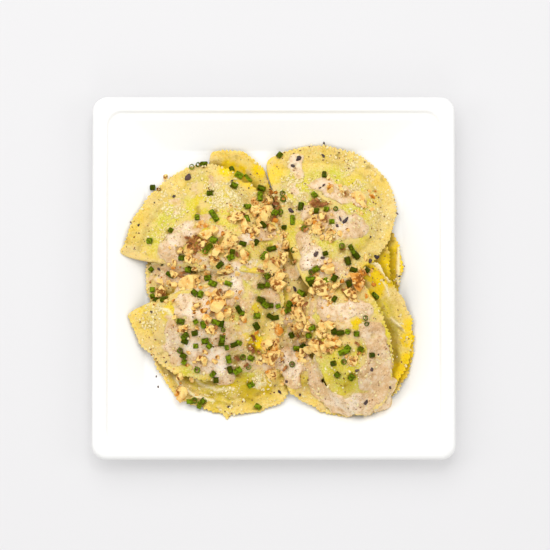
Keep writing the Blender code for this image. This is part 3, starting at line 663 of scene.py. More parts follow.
def rounded_square(half, corner, steps):
    """Points of a square with round corners, anticlockwise from its right side."""
    angle = np.linspace(0, math.pi / 2, steps + 1)
    x = half - corner + corner * np.cos(angle)
    y = half - corner + corner * np.sin(angle)
    points = []
    for quarter in range(4):
        turn = quarter * math.pi / 2
        points.append(np.column_stack([
            x * math.cos(turn) - y * math.sin(turn), x * math.sin(turn) + y * math.cos(turn)]))
    return np.vstack(points)


def plate_mesh(sizes):
    """A closed shell: the upper surface, the rolled edge and the underside."""
    upper = plate_profile(sizes)
    slope = np.gradient(upper[:, (0, 2)], axis=0)
    slope /= np.linalg.norm(slope, axis=1)[:, None]
    lower = upper + np.column_stack([
        slope[:, 1] * sizes.wall, slope[:, 1] * sizes.wall, -slope[:, 0] * sizes.wall])
    rows = np.vstack([upper, lower[::-1]])
    points = []
    for half, corner, height in rows:
        ring = rounded_square(half, corner, sizes.corner_steps)
        points.append(np.column_stack([ring, np.full(len(ring), height)]))
    count = len(points[0])
    faces = [list(range(count))]
    for k in range(len(rows) - 1):
        for i in range(count):
            j = (i + 1) % count
            faces.append((k * count + i, (k + 1) * count + i, (k + 1) * count + j, k * count + j))
    faces.append([(len(rows) - 1) * count + i for i in reversed(range(count))])
    return mesh_from("fibre_plate", np.vstack(points), faces)


def plate_heights(sizes):
    """The plate's upper surface on the grid."""
    profile = plate_profile(sizes)
    corner = 0.0120
    wide = np.maximum(abs(GRID_X), abs(GRID_Y))
    narrow = np.minimum(abs(GRID_X), abs(GRID_Y))
    inner = (wide + narrow - np.sqrt(np.maximum(2 * corner ** 2 - (wide - narrow) ** 2, 0))) / 2
    half = np.where(wide - narrow < corner, np.maximum(inner + corner, wide), wide)
    return np.interp(half, profile[:, 0], profile[:, 2])


# ---- One raviolo ----

class Outline:
    """A half-moon seen from above: an arc on one side of the chord and a nearly straight fold on the other."""

    hub_share = 0.36

    def __init__(self, row, wander, rng):
        self.x, self.y, self.half, self.depth, self.fold = (row[k] * MM for k in (1, 2, 4, 5, 6))
        self.cos, self.sin = math.cos(math.radians(row[3])), math.sin(math.radians(row[3]))
        self.arc_power, self.fold_power = row[7:9]
        self.waves = [(k, rng.uniform(0, 2 * math.pi), rng.normal() * wander * (5 / k) ** 0.5)
                      for k in range(5, 24, 2)]
        self.bulges = []
        for x, y, width, height in np.array(BULGES.get(row[0], ())).reshape(-1, 4) * MM:
            along, across = self.local(x, y)
            self.bulges.append((math.atan2(across, along), width / math.hypot(along, across), height))

    def place(self, along, across):
        return (
            self.x + along * self.sin + across * self.cos,
            self.y - along * self.cos + across * self.sin,
        )

    def local(self, x, y):
        dx, dy = x - self.x, y - self.y
        return dx * self.sin - dy * self.cos, dx * self.cos + dy * self.sin

    def reach(self, angle):
        """Distance from the chord's centre to the edge in a direction."""
        c, s = np.abs(np.cos(angle)), np.abs(np.sin(angle))
        arc = ((c / self.half) ** self.arc_power + (s / self.depth) ** self.arc_power) ** (-1 / self.arc_power)
        fold = ((c / self.half) ** self.fold_power + (s / self.fold) ** self.fold_power) ** (-1 / self.fold_power)
        edge = np.where(np.sin(angle) >= 0, arc, fold)
        for k, phase, height in self.waves:
            edge = edge + 0.4 * height * np.sin(k * angle + phase)
        for middle, width, height in self.bulges:
            away = (angle - middle + math.pi) % (2 * math.pi) - math.pi
            edge = edge + height * np.exp(-(away / width) ** 2)
        return edge

    def edge(self, count):
        """Points of the edge at equal steps along it, in the raviolo's own axes, and the way along it."""
        angle = np.linspace(0, 2 * math.pi, 2881)
        along, across = self.reach(angle) * np.cos(angle), self.reach(angle) * np.sin(angle)
        run = np.concatenate([[0], np.cumsum(np.hypot(np.diff(along), np.diff(across)))])
        wanted = np.linspace(0, run[-1], count, endpoint=False)
        return np.interp(wanted, run, along), np.interp(wanted, run, across), wanted

    def depths(self, along, across):
        """Distances of inner points from the sealed arc and from the fold."""
        u, v, _ = self.edge(480)
        return [np.hypot(along[..., None] - u[part], across[..., None] - v[part]).min(-1)
                for part in (v >= 0, v < 0)]


class Raviolo:
    """The underside, the top and the colouring of one raviolo on the grid."""

    smooth = 0.0021

    def __init__(self, row, order, sizes):
        self.node = row[0]
        self.outline = Outline(row, sizes.wander, np.random.default_rng(700 + order))
        self.order, self.sizes, self.golden, self.greenness = order, sizes, row[9], row[10]
        along, across = self.outline.local(GRID_X, GRID_Y)
        turn = np.arctan2(across, along)
        self.inside = np.hypot(along, across) < self.outline.reach(turn) + 0.0012
        self.from_arc, self.from_fold = np.full_like(GRID_X, 1.0), np.full_like(GRID_X, 1.0)
        arc, fold = self.outline.depths(along[self.inside], across[self.inside])
        self.from_arc[self.inside], self.from_fold[self.inside] = arc, fold

    def frame_heights(self):
        """The smoothed middle and thickness of the frame's solid."""
        mesh = frame["nodes"][self.node].data
        mesh.calc_loop_triangles()
        points = np.array([vertex.co for vertex in mesh.vertices])
        low, high = np.full_like(GRID_X, 1.0), np.full_like(GRID_X, -1.0)
        for triangle in mesh.loop_triangles:
            found = samples_in(points[list(triangle.vertices)])
            if found:
                rows, columns, heights = found
                np.maximum.at(high, (rows, columns), heights)
                np.minimum.at(low, (rows, columns), heights)
        known = (high > low).astype(float)
        middle = blurred((low + high) / 2 * known, self.smooth, known)
        thick = blurred((high - low) * known, self.smooth, known)
        return middle, thick

    def crumple(self, seed):
        """Small folds that run along the arc, -1 to 1."""
        along, across = self.outline.local(GRID_X, GRID_Y)
        turn = np.arctan2(across, along) * self.outline.half / 0.0065
        rows = np.clip(self.from_arc, 0, 0.03) / 0.0016 + 0.5 * np.sin(turn)
        table = np.random.default_rng(seed).uniform(-1, 1, (64, 64))
        r, c = np.floor(rows).astype(int), np.floor(turn).astype(int)
        fr, fc = rows - r, turn - c
        fr, fc = fr * fr * (3 - 2 * fr), fc * fc * (3 - 2 * fc)
        near = table[r % 64, c % 64] * (1 - fc) + table[r % 64, (c + 1) % 64] * fc
        far = table[(r + 1) % 64, c % 64] * (1 - fc) + table[(r + 1) % 64, (c + 1) % 64] * fc
        return near * (1 - fr) + far * fr

    def ridges(self):
        """Height of the folded edges, and how much of each is left cream."""
        rise, cream = np.zeros_like(GRID_X), np.zeros_like(GRID_X)
        for node, height, points in RIDGES:
            if node == self.node:
                across = np.clip(-streak_distance(points) / (max(r for _, _, r in points) * MM), 0, 1)
                rise = np.maximum(rise, height * MM * np.sqrt(across * (2 - across)))
                cream = np.maximum(cream, np.clip(2.2 * across, 0, 1))
        return rise, cream

    def lay(self, below):
        """Settles the raviolo on the heap below it."""
        sizes = self.sizes
        middle, thick = self.frame_heights()
        rng = np.random.default_rng(100 + self.order)
        shift = rng.integers(0, len(AXIS), 2)
        rough = [np.roll(field, shift, (0, 1)) for field in rough_fields()]
        rise = np.clip((self.from_arc - sizes.rim) / 0.006, 0, 1)
        self.filling = np.clip((thick - sizes.sheet) / sizes.mound, 0, 1)
        thick = np.maximum(thick, 0.95 * sizes.sheet)
        groove = np.exp(-((self.from_arc - sizes.rim - 0.0004) / 0.0010) ** 2) * (self.from_fold > 0.004)
        shoulder = np.exp(-((self.from_arc - sizes.rim - 0.0042) / 0.0022) ** 2) * (self.from_fold > 0.004)
        seam = np.exp(-((self.from_arc - 0.0022) / 0.0008) ** 2)
        detail = -sizes.crease * groove + 0.6 * sizes.crease * shoulder - 0.00012 * seam
        detail += sizes.wrinkle * (rough[0] * (0.4 + 0.8 * rise) + 0.7 * rough[1] + 0.25 * rough[2])
        detail += 0.0009 * CRUMPLED.get(self.node, 0.12) * self.crumple(900 + self.order)
        folded, self.cream = self.ridges()
        detail += folded
        self.low = np.maximum(middle - thick / 2, below + 0.0001)
        self.high = np.maximum(middle + thick / 2 + detail, self.low + 0.7 * sizes.sheet)
        self.gold = np.clip(self.golden + spots(GOLDEN) + 0.10 * rough[0], 0, 1)
        self.filling = np.clip(self.filling * self.greenness + spots(GREENER, 0.8), 0, 1)
        # Darker dough: soaked with butter in places, painted shade in the gaps between rims in others.
        self.soaked = np.clip(spots(SOAKED_AND_SHADED, 0.8) * (1 + 0.4 * rough[1]) + 0.12 * rough[0], 0, 1)
        covered = self.inside & (np.minimum(self.from_arc, self.from_fold) > 0) & (self.high > below)
        for name in COLOURING:
            heap.colouring[name] = np.where(covered, getattr(self, name), heap.colouring[name])
        return np.where(covered, self.high, below)

    def mesh(self, smoothed_heap):
        """Rings round a hub, close together at the rim, over the top and then under it."""
        sizes, outline = self.sizes, self.outline
        u, v, run = outline.edge(sizes.around)
        count = len(u)
        hub = np.array([0.0, outline.hub_share * outline.depth])
        spoke = np.hypot(u - hub[0], v - hub[1])
        arc = np.clip(v / 0.002, 0, 1)
        rng = np.random.default_rng(500 + self.order)
        sway = np.interp(run, np.linspace(0, run[-1], 50), rng.uniform(-1.3, 1.3, 50))
        bite = np.interp(run, np.linspace(0, run[-1], 60), rng.uniform(0.35, 1.3, 60))
        tooth = (2 * np.abs(np.sin(math.pi * run / sizes.tooth_pitch + sway)) ** 0.9 - 1.2) * arc * bite
        knots = rng.uniform(-1, 1, int(run[-1] / 0.0026))
        pleat = np.interp(run, np.linspace(0, run[-1], len(knots)), knots) * (0.3 + 0.7 * arc)
        pleat = (np.roll(pleat, 1) + 2 * pleat + np.roll(pleat, -1)) / 4
        ease = 0.0007 + 0.0006 * (1 - arc)
        rim_steps = np.array([0.12, 0.3, 0.55, 0.9, 1.4, 2.0, 2.7, 3.5, 4.4, 5.3, 6.2, 7.0, 7.7, 8.4, 9.1,
                              9.9, 10.8, 11.9]) * MM
        low_steps = np.array([0.12, 0.3, 0.7, 1.6, 3.5, 7.0, 11.9]) * MM

        def ring(distance, inward, side):
            share = distance / spoke + (1 - distance / spoke) * inward
            away = distance if inward == 0 else 1.0
            push = (sizes.tooth_depth * tooth * math.exp(-(away / 0.0016) ** 2)
                    + 0.8 * sizes.pleat * pleat * math.exp(-(away / 0.005) ** 2))
            along = u + (hub[0] - u) * share + push * (u - hub[0]) / spoke
            across = v + (hub[1] - v) * share + push * (v - hub[1]) / spoke
            x, y = outline.place(along, across)
            low, high = sample(self.low, x, y), sample(self.high, x, y)
            curve = np.sqrt(1 - (1 - np.clip(away / ease, 0, 1)) ** 2) * side
            lift = (0.2 * sizes.tooth_depth * tooth * math.exp(-(away / 0.0024) ** 2)
                    + sizes.pleat * (pleat + 0.4) * math.exp(-((away - 0.002) / 0.0032) ** 2))
            height = (low + high) / 2 + curve * (high - low) / 2 + lift
            return np.column_stack([x, y, height])

        rings = [ring(0.0, 0, 0)]
        rings += [ring(step, 0, 1) for step in rim_steps]
        rings += [ring(rim_steps[-1], k / 15, 1) for k in range(1, 15)]
        top_count = len(rings)
        rings += [ring(step, 0, -1) for step in low_steps]
        rings += [ring(low_steps[-1], k / 5, -1) for k in range(1, 5)]
        hub_x, hub_y = outline.place(*hub)
        ends = [[hub_x, hub_y, float(sample(self.high, hub_x, hub_y))],
                [hub_x, hub_y, float(sample(self.low, hub_x, hub_y))]]
        points = np.vstack(rings + ends)
        i = np.arange(count)
        j = (i + 1) % count
        faces = []

        def band(outer, inner, flip):
            quad = np.column_stack([outer * count + i, outer * count + j, inner * count + j, inner * count + i])
            faces.extend((quad[:, ::-1] if flip else quad).tolist())

        for k in range(top_count - 1):
            band(k, k + 1, False)
        band(0, top_count, True)
        for k in range(top_count, len(rings) - 1):
            band(k, k + 1, True)
        crown, base = len(points) - 2, len(points) - 1
        last = (top_count - 1) * count
        faces.extend(np.column_stack([last + i, last + j, np.full(count, crown)]).tolist())
        last = (len(rings) - 1) * count
        faces.extend(np.column_stack([last + j, last + i, np.full(count, base)]).tolist())
        mesh = mesh_from("raviolo_" + self.node, points, faces)
        x, y = points[:, 0], points[:, 1]
        give(mesh, "filling", sample(self.filling, x, y))
        give(mesh, "film", sample(film_field(), x, y))
        give(mesh, "stain", sample(stain_and_shade_field(), x, y))
        give(mesh, "gold", sample(self.gold, x, y))
        give(mesh, "cream", sample(self.cream, x, y))
        give(mesh, "soaked", sample(self.soaked, x, y))
        # Painted shade: the dough darkens where it lies below the smoothed heap, in the gaps and creases between
        # ravioli.
        give(mesh, "juice", np.clip((sample(smoothed_heap, x, y) - points[:, 2] - 0.0002) / 0.0022, 0, 1))
        return mesh


def streak_distance(points, swell=1.0, spread=0.0):
    """Distance in metres outside a streak of points given as x, y and half width in mm."""
    away = np.full_like(GRID_X, 1.0)
    for start, end in zip(points, points[1:]):
        (ax, ay, ar), (bx, by, br) = ((x * MM, y * MM, (r * swell + spread) * MM) for x, y, r in (start, end))
        length = (bx - ax) ** 2 + (by - ay) ** 2
        share = np.clip(((GRID_X - ax) * (bx - ax) + (GRID_Y - ay) * (by - ay)) / length, 0, 1)
        gap = np.hypot(GRID_X - ax - share * (bx - ax), GRID_Y - ay - share * (by - ay))
        away = np.minimum(away, gap - ar - share * (br - ar))
    return away


@functools.cache
def rough_fields():
    """Random fields for wrinkles, dimples and pores."""
    return [grain(1, 0.0085), grain(2, 0.0042), grain(3, 0.0019)]


@functools.cache
def film_field():
    """How thickly the film of sauce lies, in ragged patches."""
    ragged = 0.22 * grain(25, 0.0055) + 0.14 * grain(26, 0.0022)
    return np.clip(spots(FILM, 0.7) + ragged - spots(BARE, 0.6), 0, 1)


@functools.cache
def stain_and_shade_field():
    """How far the sauce and the dough darken round the toppings: partly a buttery stain, partly painted shade beside
    and under them.
    """
    places = [(x, y, radius + 1.9, 1.0) for x, y, radius, _ in WALNUTS]
    places += [(x, y, 0.6 * size + 1.4, 1.0) for x, y, size in SKINS]
    places += [(x, y, 0.4 * length + 1.5, 1.05) for x, y, _, length in CHIVES]
    return np.clip(spots(places, 0.55) + 0.3 * grain(27, 0.0042) + 0.2 * grain(28, 0.0019) - 0.25, 0, 1)


# ---- Materials ----

class Number:
    """A number that varies over a surface: sums on it add Math nodes."""

    def __init__(self, nodes, socket):
        self.nodes, self.socket = nodes, socket

    def math(self, operation, first, second=0.0, clamp=False):
        return self.nodes.node("ShaderNodeMath", {"operation": operation, "use_clamp": clamp},
                               {0: first, 1: second})

    def __add__(self, other):
        return self.math("ADD", self, other)

    __radd__ = __add__

    def __mul__(self, other):
        return self.math("MULTIPLY", self, other)

    __rmul__ = __mul__

    def __sub__(self, other):
        return self.math("SUBTRACT", self, other)

    def __rsub__(self, other):
        return self.math("SUBTRACT", other, self)

    def __truediv__(self, other):
        return self.math("DIVIDE", self, other)

    def __pow__(self, other):
        return self.math("POWER", self, other)

    def clipped(self):
        return self.math("ADD", self, 0.0, clamp=True)


class Nodes:
    """A node tree with one short way to add a node."""

    def __init__(self, tree):
        self.tree = tree

    def node(self, kind, setup=None, sockets=None, output=0):
        """Adds a node: its settings first, then the values or links of its sockets."""
        made = self.tree.nodes.new(kind)
        for name, value in (setup or {}).items():
            if name == "stops":
                self.set_stops(made.color_ramp, value)
            else:
                setattr(made, name, value)
        for name, value in (sockets or {}).items():
            self.join(value, made.inputs[name])
        return Number(self, made.outputs[output])

    def join(self, value, socket):
        if isinstance(value, Number):
            self.tree.links.new(value.socket, socket)
        elif hasattr(socket, "default_value") and socket.type == "RGBA" and len(value) == 3:
            socket.default_value = (*value, 1.0)
        else:
            socket.default_value = value

    @staticmethod
    def set_stops(ramp, stops):
        while len(ramp.elements) < len(stops):
            ramp.elements.new(1.0)
        for element, (position, colour) in zip(ramp.elements, stops):
            element.position, element.color = position, (*colour, 1.0)


class Finish(Nodes):
    """A material under construction."""

    def __init__(self, name):
        self.material = bpy.data.materials.new(name)
        self.material.use_nodes = True
        super().__init__(self.material.node_tree)
        self.tree.nodes.clear()
        self.place = self.node("ShaderNodeTexCoord", output="Object")

    def attribute(self, name):
        return self.node("ShaderNodeAttribute", {"attribute_name": name}, output="Fac")

    def noise(self, size, detail=2.0, roughness=0.5, at=None, distortion=0.0):
        """Noise from 0 to 1 whose bumps are about size across."""
        return self.node("ShaderNodeTexNoise", None, {
            "Vector": at or self.place, "Scale": 1 / size, "Detail": detail, "Roughness": roughness,
            "Distortion": distortion})

    def moved(self, offset, stretch=(1, 1, 1)):
        """The place on the object, shifted and stretched, for a second pattern unlike the first."""
        return self.node("ShaderNodeMapping", None, {
            "Vector": self.place, "Location": offset, "Scale": stretch})

    def mix(self, share, first, second):
        """The first colour where share is 0 and the second where it is 1."""
        return self.node("ShaderNodeMix", {"data_type": "RGBA"}, {0: share, 6: first, 7: second}, output=2)

    def above(self, value, level, width):
        """0 below a level and 1 above it, over a soft width."""
        return ((value - level) / width + 0.5).clipped()

    def surface(self, bump=None, depth=0.0002, strength=1.0, **sockets):
        """Closes the material with its shader."""
        names = {key.replace("_", " "): value for key, value in sockets.items()}
        if bump is not None:
            names["Normal"] = self.node("ShaderNodeBump", None, {
                "Strength": strength, "Distance": depth, "Height": bump})
        shader = self.node("ShaderNodeBsdfPrincipled", None, names)
        self.node("ShaderNodeOutputMaterial", None, {"Surface": shader})
        return self.material

    def node(self, kind, setup=None, sockets=None, output=0):
        if kind == "ShaderNodeOutputMaterial":
            made = self.tree.nodes.new(kind)
            self.join(sockets["Surface"], made.inputs["Surface"])
            return made
        return super().node(kind, setup, sockets, output)


def fibre_material(sizes):
    finish = Finish("moulded_fibre")
    cloud = finish.noise(0.022, 3)
    fibres = finish.noise(0.0011, 4, 0.65, finish.moved((3, 1, 2), (1.0, 0.35, 1.0)), 0.6)
    colour = finish.mix(cloud * 0.35 + fibres * 0.2, sizes.colour, [c * 0.965 for c in sizes.colour])
    fleck = finish.above(finish.noise(0.0012, 1, 0.5, finish.moved((8, 3, 5))), 0.815, 0.03)
    colour = finish.mix(fleck * 0.35, colour, (0.55, 0.49, 0.42))
    return finish.surface(
        bump=fibres * 0.6 + finish.noise(0.004, 2) * 0.7, depth=0.00012, strength=0.35,
        Base_Color=colour, Roughness=0.62 + cloud * 0.12, Specular_IOR_Level=0.35,
        Subsurface_Weight=0.0)


def dough_colour(finish, sizes, juice=0.0):
    """Dough over its filling, from plain to golden, with its film of sauce, a buttery stain and painted shade round the
    toppings, painted shade in the gaps, and how wet the film is.
    """
    filling, gold, film, cream, soaked = (
        finish.attribute(name) for name in ("filling", "gold", "film", "cream", "soaked"))
    broad = finish.noise(0.0085, 3, 0.55)
    middle = finish.noise(0.0031, 3, 0.6, finish.moved((2, 5, 1)))
    fine = finish.noise(0.0010, 3, 0.6, finish.moved((7, 2, 4)))
    green = (filling * 1.2 + (broad - 0.5) * 1.3 + (middle - 0.5) * 1.0 - 0.06).clipped()
    colour = finish.mix(green * 0.95, sizes.pale, sizes.green)
    colour = finish.mix(finish.above(middle, 0.56, 0.16) * 0.55, colour, (0.80, 0.64, 0.28))
    colour = finish.mix(finish.above(middle, 0.42, -0.14) * 0.4, colour, (0.60, 0.41, 0.035))
    colour = finish.mix(finish.above(fine, 0.57, 0.09) * 0.55, colour, (0.84, 0.70, 0.36))
    colour = finish.mix(finish.above(fine, 0.40, -0.08) * 0.35, colour, (0.54, 0.34, 0.03))
    colour = finish.mix(((gold - 0.15) * 1.2 + (broad - 0.5) * 0.5).clipped() * 0.95, colour, sizes.gold)
    colour = finish.mix(finish.above(fine, 0.62, 0.1) * 0.3, colour, (0.86, 0.70, 0.16))
    # Darker dough: soaked with butter, and painted shade in the narrow gaps between rims.
    colour = finish.mix((soaked * 0.9 + (middle - 0.5) * 0.5).clipped() * 0.8, colour, sizes.soaked)
    coat = finish.above(film + (middle - 0.5) * 1.1 + (fine - 0.5) * 0.6, 0.45, 0.5)
    colour = finish.mix(coat * 0.8, colour, sizes.film)
    colour = finish.mix(cream * 0.9, colour, (0.90, 0.78, 0.50))
    # Painted shade round the toppings, partly a buttery stain.
    stain = finish.attribute("stain") + (middle - 0.5) * 1.2 + (fine - 0.5) * 0.7
    colour = finish.mix(finish.above(stain, 0.59, 0.5) * 0.72, colour, sizes.juice)
    colour = finish.mix(finish.above(stain, 1.02, 0.35) * 0.55, colour, (0.12, 0.070, 0.001))
    # Painted shade in the gaps between ravioli.
    colour = finish.mix(juice, colour, sizes.juice)
    bran = finish.above(finish.noise(0.0010, 2, 0.6, finish.moved((1, 9, 3))), 0.66, 0.05)
    colour = finish.mix(bran * 0.6, colour, (0.30, 0.15, 0.05))
    return colour, coat, middle, fine


def pasta_material(sizes):
    finish = Finish("pasta_dough")
    # Painted shade in the gaps between ravioli, weaker on golden dough.
    juice = finish.attribute("juice") ** 0.9 * (0.92 - finish.attribute("gold") * 0.45)
    colour, coat, middle, fine = dough_colour(finish, sizes, juice)
    wet = finish.above(finish.noise(0.010, 2, 0.5, finish.moved((4, 4, 9))), 0.5, 0.35)
    return finish.surface(
        bump=middle * 0.6 + fine * 0.4, depth=0.0009, strength=0.8,
        Base_Color=colour, Roughness=0.44 - wet * 0.16 - coat * 0.06 + fine * 0.1, Specular_IOR_Level=0.10,
        Specular_Tint=(1.0, 0.85, 0.25, 1.0), Coat_Weight=wet * wet * 0.17, Coat_Roughness=0.12,
        Subsurface_Weight=0.4, Subsurface_Radius=(1.0, 0.66, 0.3), Subsurface_Scale=0.0024)


def sauce_material(sizes, pasta):
    finish = Finish("walnut_cream_sauce")
    depth = finish.attribute("depth")
    cloud = finish.noise(0.0055, 3, 0.55)
    grit = finish.noise(0.0011, 2, 0.6, finish.moved((5, 1, 8)))
    dough, coat, middle, fine = dough_colour(finish, pasta)
    colour = finish.mix((depth * 1.3 - 0.1 + (cloud - 0.5) * 0.6).clipped(), sizes.thin, sizes.colour)
    colour = finish.mix(finish.above(cloud, 0.43, -0.14) * 0.4, colour, (0.56, 0.34, 0.16))
    whiter = finish.attribute("milky") * 1.1 + (cloud - 0.47) * 1.8 + (middle - 0.5) * 0.9
    colour = finish.mix(whiter.clipped() * 0.85, colour, sizes.milky)
    # Near-white patches where the sauce is whitest: partly creamy sauce, partly a painted highlight.
    colour = finish.mix(finish.above(whiter, 1.15, 0.5) * 0.6, colour, (0.93, 0.85, 0.74))
    colour = finish.mix(finish.above(middle, 0.58, 0.1) * 0.4, colour, (0.80, 0.69, 0.52))
    colour = finish.mix(finish.above(middle, 0.41, -0.09) * 0.45, colour, (0.46, 0.25, 0.10))
    cover = finish.above(depth + (middle - 0.5) * 0.9 + (fine - 0.5) * 0.5, 0.36, 0.5)
    colour = finish.mix(cover * 0.94, dough, colour)
    # Painted shade round the toppings, partly a buttery stain.
    stain = finish.attribute("stain") + (middle - 0.5) * 1.2 + (fine - 0.5) * 0.7
    colour = finish.mix(finish.above(stain, 0.66, 0.5) * 0.65, colour, (0.36, 0.19, 0.014))
    colour = finish.mix(finish.above(stain, 1.05, 0.35) * 0.5, colour, (0.13, 0.065, 0.001))
    colour = finish.mix(finish.above(grit, 0.64, 0.06) * 0.6, colour, (0.28, 0.12, 0.045))
    colour = finish.mix(finish.above(grit, 0.36, -0.05) * 0.35, colour, (0.84, 0.73, 0.52))
    return finish.surface(
        bump=grit * 0.3 + cloud * 0.35 + middle * 0.35, depth=0.0007, strength=0.6,
        Base_Color=colour, Roughness=0.28 + cloud * 0.16, Specular_IOR_Level=0.12,
        Coat_Weight=0.2, Coat_Roughness=0.10,
        Subsurface_Weight=0.3, Subsurface_Radius=(1.0, 0.65, 0.35), Subsurface_Scale=0.0015)


def chive_material(sizes):
    finish = Finish("chive")
    tone, outer = finish.attribute("tone"), finish.attribute("outer")
    streak = finish.noise(0.0012, 2)
    colour = finish.mix((tone * 1.7 - 0.35 + (streak - 0.5) * 1.8).clipped(), sizes.chive_dark, sizes.chive_light)
    colour = finish.mix(finish.above(streak, 0.50, -0.12) * 0.75, colour, sizes.chive_shade)
    colour = finish.mix((1 - outer) * 0.4, colour, (0.24, 0.33, 0.02))
    return finish.surface(
        bump=streak, depth=0.0002, strength=0.5, Base_Color=colour, Roughness=0.32 + streak * 0.14,
        Specular_IOR_Level=0.18, Specular_Tint=(0.8, 1.0, 0.1, 1.0))


def walnut_material(sizes):
    finish = Finish("walnut")
    tone, skin, hollow = (finish.attribute(name) for name in ("tone", "skin", "hollow"))
    mottle = finish.noise(0.0020, 3, 0.6)
    fine = finish.noise(0.0006, 3, 0.6, finish.moved((3, 7, 1)))
    # Toasted colour, and painted shade in the hollows of each piece.
    toasted_and_shaded = (tone ** 3 * 1.1 - 0.26 + hollow * 0.8 + (mottle - 0.5) * 1.6).clipped()
    colour = finish.mix(toasted_and_shaded, sizes.nut_cream, sizes.nut_gold)
    colour = finish.mix(finish.above(mottle, 0.40, -0.12) * 0.4, colour, (0.80, 0.64, 0.32))
    # More skin in the hollows: partly skin left in the folds, partly painted shade.
    patch = finish.above(skin * 0.5 + hollow * 0.7 + (mottle - 0.5) * 1.4, 0.93, 0.25)
    colour = finish.mix(patch * 0.85, colour, sizes.nut_skin)
    return finish.surface(
        bump=mottle * 0.6 + fine * 0.4, depth=0.0003, strength=0.6,
        Base_Color=colour, Roughness=0.44 + fine * 0.15, Specular_IOR_Level=0.12,
        Specular_Tint=(1.0, 0.8, 0.3, 1.0),
        Subsurface_Weight=0.2, Subsurface_Radius=(1.0, 0.6, 0.3), Subsurface_Scale=0.001)


def grain_material(name, colour, other, roughness, size=0.001, contrast=1.2):
    """A plain small thing: two colours mottled, and a tone of its own for each grain."""
    finish = Finish(name)
    tone = finish.attribute("tone")
    mottle = finish.noise(size, 2, 0.6)
    return finish.surface(
        bump=mottle, depth=0.0001, strength=0.5,
        Base_Color=finish.mix((tone * 0.7 + (mottle - 0.5) * contrast).clipped(), colour, other),
        Roughness=roughness + mottle * 0.1, Specular_IOR_Level=0.25)


# ---- Geometry Nodes ----

class Recipe(Nodes):
    """A Geometry Nodes tree with named inputs."""

    def __init__(self, name):
        super().__init__(bpy.data.node_groups.new(name, "GeometryNodeTree"))
        self.tree.interface.new_socket("Geometry", in_out="OUTPUT", socket_type="NodeSocketGeometry")
        self.tree.interface.new_socket("Geometry", in_out="INPUT", socket_type="NodeSocketGeometry")
        self.enter = self.tree.nodes.new("NodeGroupInput")
        self.leave = self.tree.nodes.new("NodeGroupOutput")

    def entry(self, name, kind="NodeSocketFloat", default=None):
        """A named input of the tree."""
        if name != "Geometry":
            made = self.tree.interface.new_socket(name, in_out="INPUT", socket_type=kind)
            if default is not None:
                made.default_value = default
        return Number(self, self.enter.outputs[name])

    def named(self, name, kind="FLOAT"):
        return self.node("GeometryNodeInputNamedAttribute", {"data_type": kind}, {"Name": name})

    def store(self, geometry, name, value, kind="FLOAT", domain="POINT"):
        return self.node("GeometryNodeStoreNamedAttribute", {"data_type": kind, "domain": domain},
                         {"Geometry": geometry, "Name": name, "Value": value})

    def close(self, instances, material):
        real = self.node("GeometryNodeRealizeInstances", None, {"Geometry": instances})
        painted = self.node("GeometryNodeSetMaterial", None, {"Geometry": real, "Material": material})
        self.tree.links.new(painted.socket, self.leave.inputs["Geometry"])

    def run(self, context, guide, **values):
        """The tree's result on a guide mesh, as a plain mesh."""
        carrier = bpy.data.objects.new(guide.name, guide)
        context.scene.collection.objects.link(carrier)
        modifier = carrier.modifiers.new("recipe", "NODES")
        modifier.node_group = self.tree
        for item in self.tree.interface.items_tree:
            if item.in_out == "INPUT" and item.name in values:
                modifier[item.identifier] = values[item.name]
        depsgraph = context.evaluated_depsgraph_get()
        mesh = bpy.data.meshes.new_from_object(
            carrier.evaluated_get(depsgraph), preserve_all_data_layers=True, depsgraph=depsgraph)
        carrier.modifiers.remove(modifier)
        bpy.data.objects.remove(carrier, do_unlink=True)
        bpy.data.meshes.remove(guide)
        if not len(mesh.polygons):
            raise RuntimeError(self.tree.name + " made no faces")
        return mesh


def points_mesh(name, points, **values):
    """Loose points with values for a recipe: turn and size as vectors, tone as a number, kind as an index."""
    mesh = mesh_from(name, points, [])
    kinds = {"turn": "FLOAT_VECTOR", "size": "FLOAT_VECTOR", "tone": "FLOAT", "kind": "INT"}
    for key, value in values.items():
        give(mesh, key, value, kinds[key])
    return mesh


def chive_recipe(material):
    """A short length of hollow stem at every point: a flat band swept round a ring."""
    recipe = Recipe("cut_chives")
    geometry = recipe.entry("Geometry")
    radius = recipe.entry("Radius", default=0.0014)
    wall = recipe.entry("Wall", default=0.0004)
    middle = radius - wall * 0.5
    ring = recipe.node("GeometryNodeCurvePrimitiveCircle", None, {"Resolution": 14, "Radius": middle})
    band = recipe.node("GeometryNodeCurvePrimitiveQuadrilateral", None, {"Width": wall, "Height": 1.0})
    tube = recipe.node("GeometryNodeCurveToMesh", None, {"Curve": ring, "Profile Curve": band})
    place = recipe.node("GeometryNodeInputPosition")
    flat = recipe.node("ShaderNodeVectorMath", {"operation": "MULTIPLY"}, {0: place, 1: (1, 1, 0)})
    away = recipe.node("ShaderNodeVectorMath", {"operation": "LENGTH"}, {0: flat}, output="Value")
    tube = recipe.store(tube, "outer", ((away - middle) / wall + 0.5).clipped())
    spin = recipe.node("FunctionNodeEulerToRotation", None, {"Euler": recipe.named("turn", "FLOAT_VECTOR")})
    placed = recipe.node("GeometryNodeInstanceOnPoints", None, {
        "Points": geometry, "Instance": tube, "Rotation": spin,
        "Scale": recipe.named("size", "FLOAT_VECTOR")})
    recipe.close(placed, material)
    return recipe


